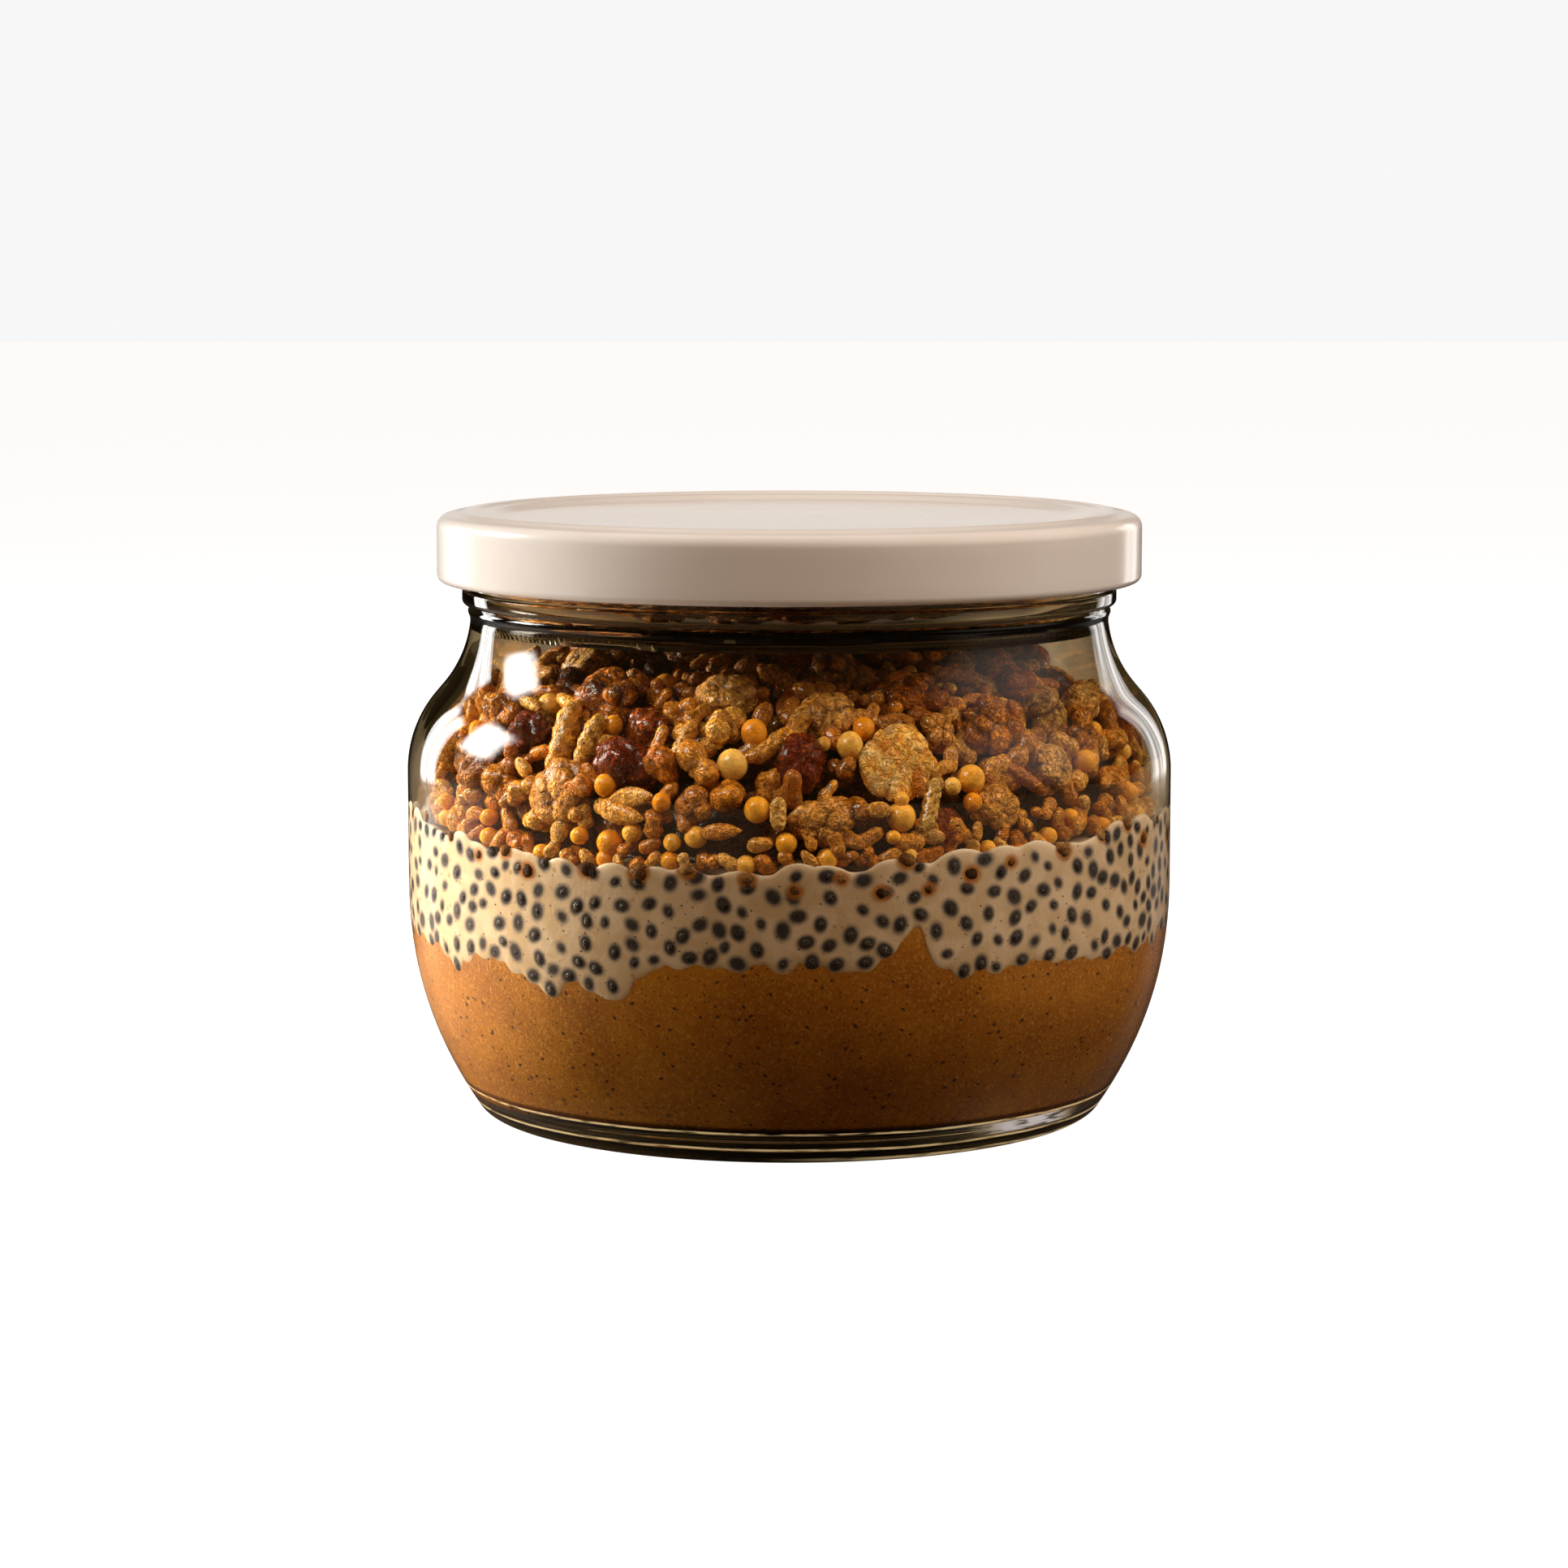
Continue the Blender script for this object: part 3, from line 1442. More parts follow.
    def build_crumbs(self) -> None:
        """Sets the sunk crumbs in the skin near the upper edge."""
        rng = np.random.default_rng(13)
        shape, faces = ball(14, 9)
        sheet = Sheet()
        for azimuth, height, size in self.crumbs:
            ripple = Ripple(rng, 6, 0.8, 2.2)
            points = shape * (1.0 + 0.16 * ripple(shape))[:, None] * np.array([1.0, 0.85, 0.9]) * size
            radius = float(self.layers.jar.inner_radius(height)) + self.reach - 0.5 * size
            sheet.add(at_wall(points, azimuth, radius, height), faces, tone=rng.uniform(), fold=0.0)
        sheet.piece("sunk_crumbs", "pudding", CRUMB_FINISH.material())


def at_wall(points: Array, azimuth: float, radius: float, height: float) -> Array:
    """Stands a shape at the wall, its Y axis pointing outward.

    Args:
        points: the shape.
        azimuth: where it goes.
        radius: distance of its middle from the axis.
        height: height of its middle.

    Returns:
        The placed points.
    """
    outward = outward_at(azimuth)
    along = np.array([math.cos(azimuth), math.sin(azimuth), 0.0])
    basis = np.stack([along, outward, np.array([0.0, 0.0, 1.0])])
    return points @ basis + outward * radius + np.array([0.0, 0.0, height])


def turn_y(points: Array, angle: float) -> Array:
    """Turns points about the Y axis."""
    cosine, sine = math.cos(angle), math.sin(angle)
    return points @ np.array([[cosine, 0.0, sine], [0.0, 1.0, 0.0], [-sine, 0.0, cosine]])


def ball(sides: int, rings: int) -> tuple[Array, Array]:
    """Gives a unit ball with poles along Z, by its sides and the rings between the poles."""
    polar = math.pi * np.arange(rings + 2) / (rings + 1)
    return turned(np.stack([np.sin(polar), -np.cos(polar)], axis=1), even_turns(sides))


class Ripple:
    """Smooth seeded noise made of waves in random directions."""

    def __init__(self, rng: np.random.Generator, waves: int, low: float, high: float) -> None:
        """Draws the waves.

        Args:
            rng: the random source.
            waves: how many.
            low: the lowest frequency.
            high: the highest frequency.
        """
        directions = rng.standard_normal((waves, 3))
        directions /= np.linalg.norm(directions, axis=1)[:, None]
        self.frequency = rng.uniform(low, high, waves)
        self.directions = directions * self.frequency[:, None] * math.pi
        self.phases = rng.uniform(0.0, TURN, waves)

    def __call__(self, points: Array) -> Array:
        """Gives the noise, about -1 to 1, at points."""
        waves = np.sin(points @ self.directions.T + self.phases)
        return (waves / self.frequency).sum(axis=1) / (1.0 / self.frequency).sum() * 1.6


def uneven(rng: np.random.Generator, points: Array, depth: float, waves: int, band: Span) -> Array:
    """Swells and shrinks a shape by a ripple of a depth, with waves of a band of frequencies."""
    return points * (1.0 + depth * Ripple(rng, waves, *band)(points)[:, None])


def spaced(rings: int) -> Array:
    """Gives places from -1 to 1 along a piece, closer together towards its ends."""
    return -np.cos(math.pi * (np.arange(rings + 2) / (rings + 1)))


def skinned(ends: Array, rows: Sequence[Array]) -> tuple[Array, Array]:
    """Closes rows of points between two ends with triangles that face outward."""
    return np.concatenate([ends, *rows]), ring_faces(len(rows), len(rows[0]))[:, ::-1]


def fine_ball(level: int) -> tuple[Array, Array]:
    """Gives a unit ball of even triangles.

    Args:
        level: how often the twenty faces are split.

    Returns:
        Points and triangles.
    """
    mesh = bpy.data.meshes.new("even_ball")
    build = bmesh.new()
    bmesh.ops.create_icosphere(build, subdivisions=level, radius=1.0)
    build.to_mesh(mesh)
    build.free()
    points = np.empty(len(mesh.vertices) * 3, dtype=np.float32)
    mesh.vertices.foreach_get("co", points)
    faces = np.empty(len(mesh.polygons) * 3, dtype=np.int32)
    mesh.polygons.foreach_get("vertices", faces)
    bpy.data.meshes.remove(mesh)
    return points.reshape(-1, 3).astype(float), faces.reshape(-1, 3)


@dataclass
class Shape:
    """One granola piece in its own frame, its face towards +Z, and how deep in a fold it is."""

    points: Array
    faces: Array
    fold: Array


class ShapeMaker:
    """Makes single granola pieces of about unit size from a random source."""

    def __init__(self, rng: np.random.Generator) -> None:
        """Keeps the source and the balls that pieces start from.

        Args:
            rng: the random source.
        """
        self.rng = rng
        self.coarse = fine_ball(3)
        self.medium = fine_ball(4)
        self.fine = fine_ball(5)

    def _lobes(self, directions: Array, centres: Array, widths: Array) -> tuple[Array, Array]:
        """Raises round lobes on a ball with sharp folds between them.

        Args:
            directions: the ball's points.
            centres: directions of the lobes.
            widths: half widths of the lobes in radians.

        Returns:
            Height from 0 to 1, and how deep in a fold each point is.
        """
        angles = np.arccos(np.clip(directions @ centres.T, -1.0, 1.0))
        caps = np.sqrt(np.clip(1.0 - (angles / widths) ** 2, 0.0, 1.0))
        ordered = np.sort(caps, axis=1)
        best, second = ordered[:, -1], ordered[:, -2]
        fold = np.clip(1.0 - (best - second) / 0.10, 0.0, 1.0) * np.clip((1.02 - best) * 5.0, 0.0, 1.0)
        return best, np.clip(fold + np.clip(0.35 - best, 0.0, 1.0), 0.0, 1.0)

    def _directions(self, count: int) -> Array:
        """Gives roughly even random directions.

        Args:
            count: how many.

        Returns:
            The directions, one row each.
        """
        turns = np.arange(count) * math.pi * (3.0 - math.sqrt(5.0)) + self.rng.uniform(0.0, 6.0)
        heights = 1.0 - 2.0 * (np.arange(count) + 0.5) / count
        flat = np.sqrt(1.0 - heights**2)
        even = np.stack([flat * np.cos(turns), flat * np.sin(turns), heights], axis=1)
        even += 0.28 * self.rng.standard_normal((count, 3))
        return even / np.linalg.norm(even, axis=1)[:, None]

    def _stuck(self, directions: Array, centres: Array, sizes: Array, least: float) -> tuple[Array, Array]:
        """Gives the outline of balls baked together, as seen from their middle.

        Args:
            directions: the directions in which it is wanted.
            centres: middles of the balls.
            sizes: their radii.
            least: the distance where there is no ball.

        Returns:
            Distance from the middle, and how deep in a seam each point is.
        """
        forward = directions @ centres.T
        inside = forward**2 - (centres**2).sum(axis=1) + sizes**2
        reach = np.where(inside > 0.0, forward + np.sqrt(np.clip(inside, 0.0, None)), least)
        ordered = np.sort(reach, axis=1)
        seam = np.clip(1.0 - (ordered[:, -1] - ordered[:, -2]) / 0.1, 0.0, 1.0)
        return ordered[:, -1], seam

    def cluster(self, fine: bool = False) -> Shape:
        """Makes a knobbly baked cluster.

        Args:
            fine: True for the ones seen close.

        Returns:
            The shape.
        """
        directions, faces = self.fine if fine else self.medium
        count = int(self.rng.integers(14, 22))
        centres = self._directions(count) * self.rng.uniform(0.44, 0.66, (count, 1))
        radius, seam = self._stuck(directions, centres, self.rng.uniform(0.27, 0.46, count), 0.52)
        many = int(self.rng.integers(44, 66))
        small, crease = self._lobes(directions, self._directions(many), self.rng.uniform(0.2, 0.42, many))
        radius += 0.09 * small + 0.06 * Ripple(self.rng, 8, 0.6, 2.0)(directions)
        radius += self._grit(directions, 0.030)
        scale = np.array([1.0, self.rng.uniform(0.76, 0.95), self.rng.uniform(0.62, 0.85)])
        fold = np.clip(seam * 0.9 + 0.3 * crease, 0.0, 1.0)
        return Shape(directions * radius[:, None] * scale, faces, fold)

    def _grit(self, directions: Array, depth: float) -> Array:
        """Gives a fine broken crust, for balls with enough points to carry it."""
        ripples = [Ripple(self.rng, 14, low, high)(directions) for low, high in ((2.5, 6.5), (4.0, 9.0))]
        return depth * (sum(np.abs(ripple) for ripple in ripples) - 0.6)

    def rosette(self, fine: bool = False) -> Shape:
        """Makes a flattened puffed cluster with petals round a pit, like half a walnut.

        Args:
            fine: True for the ones seen close.

        Returns:
            The shape.
        """
        directions, faces = self.fine if fine else self.medium
        petals = int(self.rng.integers(5, 8))
        turns = (np.arange(petals) + self.rng.uniform(-0.3, 0.3, petals)) * (TURN / petals)
        tilt = self.rng.uniform(0.6, 0.95, petals)
        ring = np.stack([np.sin(tilt) * np.cos(turns), np.sin(tilt) * np.sin(turns), np.cos(tilt)], axis=1)
        back = self._directions(9)
        centres = np.concatenate([ring, back[back[:, 2] < 0.1]])
        lobes, fold = self._lobes(directions, centres, self.rng.uniform(0.76, 1.08, len(centres)))
        small, crease = self._lobes(directions, self._directions(34), self.rng.uniform(0.24, 0.5, 34))
        flat = np.arctan2(directions[:, 1], directions[:, 0])
        upward = np.clip(directions[:, 2], 0.0, 1.0)
        bend = Ripple(self.rng, 6, 0.5, 1.8)(directions)
        pleats = np.abs(np.sin(flat * (1.5 * petals + 0.5) + 2.4 * bend))
        split = np.clip(1.0 - pleats / 0.3, 0.0, 1.0) * upward**0.8 * (1.0 - upward**10)
        radius = 0.52 + 0.36 * lobes**1.8 + 0.07 * small + 0.09 * bend - 0.09 * split
        radius += self._grit(directions, 0.012)
        scale = np.array([1.0, self.rng.uniform(0.80, 1.0), self.rng.uniform(0.55, 0.75)])
        fold = np.clip(0.9 * fold + 0.2 * crease + 0.6 * split, 0.0, 1.0)
        return Shape(directions * radius[:, None] * scale, faces, fold)

    def nugget(self) -> Shape:
        """Makes a few small balls baked together in a clump.

        Returns:
            The shape.
        """
        directions, faces = self.coarse
        count = int(self.rng.integers(2, 6))
        centres = self._directions(count) * self.rng.uniform(0.32, 0.54, (count, 1))
        sizes = self.rng.uniform(0.40, 0.60, count)
        radius, seam = self._stuck(directions, centres, sizes, 0.26)
        radius *= 1.0 + 0.10 * Ripple(self.rng, 8, 0.8, 2.4)(directions)
        return Shape(directions * radius[:, None], faces, seam * 0.8)

    def strand(self) -> Shape:
        """Makes a bent strand with a twist, long along X, like a short piece of rope.

        Returns:
            The shape.
        """
        rings, sides = 26, 14
        along = spaced(rings)
        girth = np.sqrt(np.clip(1.0 - np.abs(along) ** 4, 0.0, 1.0)) * (1.0 - 0.25 * along**2)
        turns = even_turns(sides)
        twist = self.rng.uniform(7.0, 10.0)
        middle = np.column_stack([along, 0.12 * np.sin(along * self.rng.uniform(1.5, 3.0))])
        rows = []
        folds = [0.5, 0.5]
        for index in range(1, rings + 1):
            wave = np.abs(np.sin(along[index] * twist + 1.5 * turns))
            radius = 0.30 * girth[index] * (0.68 + 0.42 * np.sqrt(wave))
            side = middle[index, 1] + radius * np.cos(turns)
            rows.append(np.column_stack([np.full(sides, middle[index, 0]), side, radius * np.sin(turns)]))
            folds.extend(np.clip(0.8 - 1.5 * wave, 0.0, 0.8))
        points, faces = skinned(np.column_stack([middle[[0, -1]], [0.0, 0.0]]), rows)
        return Shape(uneven(self.rng, points, 0.10, 6, (0.8, 2.2)), faces, np.array(folds))

    def fruit(self) -> Shape:
        """Makes a wrinkled piece of dried fruit.

        Returns:
            The shape.
        """
        directions, faces = self.medium
        wrinkles = np.abs(Ripple(self.rng, 7, 1.2, 2.6)(directions))
        knobs = np.abs(Ripple(self.rng, 9, 2.4, 4.6)(directions))
        radius = 0.78 + 0.26 * wrinkles + 0.14 * knobs
        scale = np.array([1.0, 0.8, 0.65])
        return Shape(directions * radius[:, None] * scale, faces, np.clip(0.6 - 2.0 * wrinkles, 0.0, 0.6))

    def berry(self) -> Shape:
        """Makes a small round puffed ball with a dimple.

        Returns:
            The shape.
        """
        directions, faces = self.coarse
        dimple = np.clip((directions[:, 2] - 0.93) / 0.07, 0.0, 1.0)
        radius = 1.0 + 0.025 * Ripple(self.rng, 6, 0.5, 1.4)(directions) - 0.06 * dimple
        return Shape(directions * radius[:, None], faces, dimple * 0.35)

    def grain(self) -> Shape:
        """Makes a plump bent grain, long along X, with a crease along its face.

        Returns:
            The shape.
        """
        rings, sides = 9, 13
        bend = self.rng.uniform(0.1, 1.1)
        waist = self.rng.uniform(0.0, 0.30)
        along = spaced(rings)
        girth = (1.0 - np.abs(along) ** 2.2) ** 0.5 * (1.0 - waist * np.cos(math.pi * along / 1.6) ** 4)
        girth *= 1.0 + 0.10 * np.sin(along * self.rng.uniform(1.5, 4.0) + self.rng.uniform(0.0, 6.0))
        angle = along * bend / 2.0
        middle = np.stack([np.sin(angle), np.cos(angle) - 1.0], axis=1) / max(bend / 2.0, 1e-3)
        tangent = np.stack([np.cos(angle), -np.sin(angle)], axis=1)
        across = np.stack([-tangent[:, 1], tangent[:, 0]], axis=1)
        turns = even_turns(sides)
        width = self.rng.uniform(0.50, 0.72)
        crease = np.exp(-(((turns - math.pi / 2.0) / 0.42) ** 2)) * self.rng.uniform(0.0, 0.42)
        rows = []
        folds = [0.4, 0.4]
        for index in range(1, rings + 1):
            side = middle[index] + across[index] * (width * girth[index]) * np.cos(turns)[:, None]
            depth = width * girth[index] * 0.85 * np.sin(turns) * (1.0 - crease * girth[index])
            rows.append(np.column_stack([side, depth]))
            folds.extend(1.4 * crease * girth[index])
        points, faces = skinned(np.column_stack([middle[[0, -1]], [0.0, 0.0]]), rows)
        return Shape(uneven(self.rng, points, 0.07, 5, (0.6, 1.6)), faces, np.array(folds))

    def kernel(self) -> Shape:
        """Makes a flat pointed kernel, long along X, with a faint ridge.

        Returns:
            The shape.
        """
        rings, sides = 11, 12
        along = spaced(rings)
        girth = np.sin(math.pi * np.clip((along + 1.0) / 2.0, 0.0, 1.0) ** 0.85) ** 0.8
        turns = even_turns(sides)
        thick = self.rng.uniform(0.15, 0.22)
        curve = 0.07
        rows = []
        for index in range(1, rings + 1):
            side = 0.40 * girth[index] * np.cos(turns)
            depth = thick * girth[index] * np.sin(turns) + curve * along[index] ** 2
            rows.append(np.column_stack([np.full(sides, along[index]), side, depth]))
        points, faces = skinned(np.array([[-1.0, 0.0, curve], [1.0, 0.0, curve]]), rows)
        points = uneven(self.rng, points, 0.05, 5, (0.5, 1.5))
        fold = np.clip((np.abs(points[:, 1]) - 0.28) * 4.0, 0.0, 0.5)
        return Shape(points, faces, fold)

    def flake(self) -> Shape:
        """Makes a rolled oat flake: a thin round plate with split edges and wrinkles.

        Returns:
            The shape.
        """
        rings, sides = 12, 56
        turns = even_turns(sides)
        cuts = self.rng.uniform(0.0, TURN, 7)
        away = np.abs(signed(turns[:, None] - cuts))
        split = np.exp(-((away / 0.06) ** 2)).max(axis=1)
        circle = np.stack([np.cos(turns), np.sin(turns), 0.0 * turns], axis=1)
        rim = 1.0 + 0.05 * Ripple(self.rng, 5, 0.8, 2.2)(circle) - 0.07 * split
        half = rings // 2
        outward = np.concatenate([np.linspace(0.18, 1.0, half), np.linspace(1.0, 0.18, half)])
        side = np.concatenate([np.full(half, 1.0), np.full(half, -1.0)])
        ripple = Ripple(self.rng, 8, 0.7, 2.4)
        rows = []
        folds = []
        for share, sign in zip(outward, side):
            radius = rim * share
            flat = np.stack([radius * np.cos(turns), radius * np.sin(turns), 0.0 * turns], axis=1)
            crease = split * np.clip(share * 1.2 - 0.2, 0.0, 1.0)
            thick = 0.12 * math.sqrt(max(1.0 - share**4, 0.02)) * (1.0 - 0.6 * crease)
            flat[:, 2] = sign * thick + 0.09 * ripple(flat)
            rows.append(flat)
            folds.append(crease * 0.7)
        centre = float(ripple(np.zeros((1, 3)))[0]) * 0.09
        ends = np.array([[0.0, 0.0, centre + 0.1], [0.0, 0.0, centre - 0.1]])
        return Shape(*skinned(ends, rows), np.concatenate([[0.0, 0.0], *folds]))


CRUMB_FINISH = Morsel(
    "sunk_crumb",
    toasted=(0.05, 0.02, 0.008),
    middle=(0.20, 0.075, 0.015),
    pale=(0.50, 0.26, 0.08),
    fold=(0.03, 0.012, 0.005),
    roughness=0.4,
)


class Kind(Enum):
    """The kinds of granola piece. Each has a method of its name in ShapeMaker, and one object."""

    CLUSTER = "clusters"
    ROSETTE = "rosettes"
    NUGGET = "nuggets"
    STRAND = "twisted_strands"
    FRUIT = "dried_fruit"
    FLAKE = "oat_flakes"
    BERRY = "puffed_balls"
    KERNEL = "kernels"
    GRAIN = "puffed_grains"


FINISHES = {
    Kind.CLUSTER: Morsel(
        "baked_cluster",
        toasted=(0.338, 0.063, 0.0023),
        middle=(0.710, 0.206, 0.0099),
        pale=(0.950, 0.404, 0.0547),
        fold=(0.046, 0.009, 0.0003),
        roughness=0.38,
        coat=0.6,
        relief=0.75,
        crease=0.45,
    ),
    Kind.ROSETTE: Morsel(
        "puffed_rosette",
        toasted=(0.552, 0.142, 0.0103),
        middle=(0.832, 0.319, 0.0374),
        pale=(0.950, 0.507, 0.1202),
        fold=(0.069, 0.015, 0.0008),
        roughness=0.44,
        coat=0.45,
        relief=0.55,
        crease=0.22,
    ),
    Kind.NUGGET: Morsel(
        "baked_nugget",
        toasted=(0.527, 0.124, 0.0041),
        middle=(0.832, 0.278, 0.0166),
        pale=(0.950, 0.456, 0.0655),
        fold=(0.064, 0.012, 0.0005),
        roughness=0.34,
        coat=0.7,
        relief=0.45,
    ),
    Kind.STRAND: Morsel(
        "baked_strand",
        toasted=(0.568, 0.153, 0.0061),
        middle=(0.873, 0.326, 0.0232),
        pale=(0.950, 0.536, 0.1004),
        fold=(0.134, 0.029, 0.0008),
        roughness=0.32,
        coat=0.7,
        relief=0.35,
    ),
    Kind.FRUIT: Morsel(
        "dried_fruit_skin",
        toasted=(0.057, 0.005, 0.0003),
        middle=(0.208, 0.020, 0.0010),
        pale=(0.543, 0.101, 0.0040),
        fold=(0.011, 0.002, 0.0002),
        roughness=0.2,
        coat=0.9,
        relief=0.90,
    ),
    Kind.FLAKE: Morsel(
        "oat_flake",
        toasted=(0.837, 0.202, 0.0094),
        middle=(0.950, 0.457, 0.0655),
        pale=(0.950, 0.681, 0.2574),
        fold=(0.266, 0.049, 0.0017),
        roughness=0.46,
        patch=1.0,
        relief=0.34,
    ),
    Kind.BERRY: Morsel(
        "puffed_ball",
        toasted=(0.853, 0.240, 0.0038),
        middle=(0.950, 0.390, 0.0175),
        pale=(0.950, 0.528, 0.1019),
        fold=(0.196, 0.046, 0.0012),
        roughness=0.28,
        coat=0.4,
        relief=0.05,
        patch=0.2,
        crease=0.04,
    ),
    Kind.KERNEL: Morsel(
        "flat_kernel",
        toasted=(0.552, 0.142, 0.0065),
        middle=(0.832, 0.308, 0.0248),
        pale=(0.950, 0.486, 0.0947),
        fold=(0.150, 0.035, 0.0016),
        roughness=0.38,
        coat=0.2,
        relief=0.28,
    ),
    Kind.GRAIN: Morsel(
        "plump_grain",
        toasted=(0.578, 0.151, 0.0059),
        middle=(0.856, 0.324, 0.0265),
        pale=(0.950, 0.507, 0.1055),
        fold=(0.115, 0.027, 0.0010),
        roughness=0.34,
        coat=0.6,
        relief=0.34,
    ),
}


@dataclass(frozen=True)
class Batch:
    """Pieces of one kind that are scattered together.

    size is the least and largest half length, room the space a piece keeps as a share of it, sunk
    how far its middle lies under the heap's surface as a share of it, and zone the shares of the
    heap's surface from its top between which the pieces lie.
    """

    kind: Kind
    tries: int
    size: tuple[float, float]
    room: float
    sunk: float
    limit: int
    zone: tuple[float, float] = (0.0, 0.97)


@dataclass(frozen=True)
class Hero:
    """A piece that the eye picks out.

    It has a kind, an azimuth in degrees, a height, a half length, a tone from toasted at 0 to pale
    at 1, and a turn in its own plane, in radians.
    """

    kind: Kind
    azimuth: float
    height: float
    size: float
    tone: float
    spin: float = 0.0


def heroes_of(kind: Kind, *places: tuple[float, ...]) -> tuple[Hero, ...]:
    """Gives the heroes of one kind from their azimuth, height, half length, tone and turn."""
    return tuple(Hero(kind, *place) for place in places)


@dataclass
class Granola:
    """The heap: a dark core under single pieces of nine kinds.

    Its outline is a rounded step whose side is squarer by roundness and its top by fullness.
    facing is how far the pieces follow its slope, and hollow is a gap in it: the gap's azimuth and
    half width in radians, and its foot. Pieces high up inside the neck are shaded: shaded_radius
    and shaded_height are where this starts and how far on it is full.
    """

    layers: Layers
    top: float = 57.0
    foot: float = 37.0
    radius: float = 44.5
    roundness: float = 3.6
    fullness: float = 1.7
    core_inset: float = 5.0
    clearance: float = 0.12
    facing: float = 0.4
    hollow: tuple[float, float, float] = (-1.05, 0.34, 51.5)
    shaded_radius: Span = (38.0, 6.0)
    shaded_height: Span = (51.0, 4.0)
    neck_shade: float = 0.6
    deep_shade: float = 0.8
    row_rise: float = 2.2
    core_relief: float = 0.8
    heroes: tuple[Hero, ...] = (
        *heroes_of(Kind.FLAKE, (17.0, 46.4, 4.2, 0.62, 0.4)),
        *heroes_of(
            Kind.FRUIT,
            (-27.0, 46.2, 4.1, 0.55), (1.5, 46.6, 3.6, 0.5, 1.2), (-50.0, 48.5, 3.3, 0.35, 0.3),
            (24.0, 39.4, 2.9, 0.75, 0.3),
        ),
        *heroes_of(
            Kind.BERRY,
            (-6.0, 49.6, 1.5, 0.3), (17.0, 40.7, 1.65, 0.62), (-9.0, 46.5, 1.75, 0.95),
            (10.0, 48.4, 1.5, 0.8), (-14.0, 38.6, 1.3, 0.7), (29.0, 44.5, 1.6, 0.6),
            (-29.0, 43.8, 1.3, 0.3), (-24.0, 38.8, 1.15, 0.6), (-32.0, 49.8, 1.05, 0.4),
            (-28.0, 37.4, 1.5, 0.25), (54.0, 45.0, 1.3, 0.5),
        ),
        *heroes_of(
            Kind.ROSETTE,
            (-38.0, 42.3, 4.7, 0.5), (-13.0, 53.2, 4.4, 0.7), (7.0, 51.3, 3.9, 0.6),
            (5.0, 40.6, 4.1, 0.5), (33.0, 41.2, 3.9, 0.55), (45.0, 45.0, 3.7, 0.7),
            (26.0, 49.3, 2.5, 0.5),
        ),
        *heroes_of(
            Kind.CLUSTER,
            (-37.0, 52.6, 5.2, 0.35), (25.0, 53.0, 5.8, 0.25), (44.0, 56.0, 4.4, 0.4),
            (37.0, 49.6, 4.4, 0.5), (54.0, 53.3, 4.0, 0.15), (57.0, 48.0, 3.6, 0.55),
            (-52.0, 42.2, 4.3, 0.6), (-62.0, 50.0, 3.9, 0.55), (4.0, 56.4, 4.8, 0.05),
        ),
        *heroes_of(
            Kind.KERNEL,
            (-24.0, 42.7, 2.9, 0.75, 0.1), (-25.5, 40.9, 3.1, 0.6, -0.15), (-10.0, 39.3, 2.5, 0.35, 0.1),
        ),
        *heroes_of(
            Kind.NUGGET,
            (-20.0, 40.2, 2.2, 0.5), (-15.0, 45.9, 3.3, 0.6), (-9.0, 43.3, 2.5, 0.45),
        ),
        *heroes_of(
            Kind.STRAND,
            (-41.0, 48.4, 4.4, 0.7, 1.35), (-35.0, 47.6, 3.9, 0.75, 1.1), (-44.0, 51.2, 3.6, 0.7, -0.5),
            (-18.0, 48.4, 3.0, 0.65, 0.9), (-3.0, 48.3, 3.4, 0.55, 0.4),
        ),
        *heroes_of(Kind.NUGGET, (66.0, 46.0, 2.5, 0.5), (61.0, 42.3, 2.5, 0.5)),
        *heroes_of(
            Kind.GRAIN,
            (-22.0, 48.6, 1.7, 0.5, 1.3), (-18.0, 49.4, 1.6, 0.6), (15.0, 50.9, 1.8, 0.5, 1.4),
            (13.0, 41.7, 1.6, 0.65), (18.0, 37.9, 1.8, 0.5), (33.0, 45.2, 1.5, 0.6, 1.2),
            (24.0, 45.7, 1.8, 0.65, 0.4),
        ),
    )
    batches: tuple[Batch, ...] = (
        Batch(Kind.CLUSTER, 1500, (3.4, 4.8), 0.92, 0.05, 36, (0.0, 0.94)),
        Batch(Kind.ROSETTE, 1200, (2.8, 4.2), 0.92, 0.0, 38),
        Batch(Kind.FLAKE, 60, (3.0, 4.2), 0.9, 0.0, 6),
        Batch(Kind.FRUIT, 160, (2.2, 3.4), 0.95, 0.1, 12),
        Batch(Kind.KERNEL, 300, (2.0, 2.9), 0.70, 0.0, 18),
        Batch(Kind.BERRY, 500, (1.0, 1.6), 0.95, 0.1, 34),
        Batch(Kind.STRAND, 900, (2.6, 4.0), 0.62, 0.0, 46),
        Batch(Kind.NUGGET, 2600, (1.6, 3.0), 0.78, 0.2, 200),
        Batch(Kind.GRAIN, 4500, (1.4, 2.3), 0.68, 0.2, 280),
        Batch(Kind.BERRY, 900, (0.8, 1.15), 0.85, 0.3, 34),
    )
    filling: tuple[Batch, ...] = (
        Batch(Kind.NUGGET, 900, (1.8, 2.7), 0.78, 1.4, 110),
        Batch(Kind.GRAIN, 2500, (1.6, 2.4), 0.62, 1.4, 150),
    )
    edging: tuple[tuple[Kind, Span], ...] = (
        (Kind.GRAIN, (1.1, 2.0)),
        (Kind.NUGGET, (1.2, 2.2)),
        (Kind.GRAIN, (1.1, 1.7)),
        (Kind.BERRY, (0.8, 1.25)),
    )

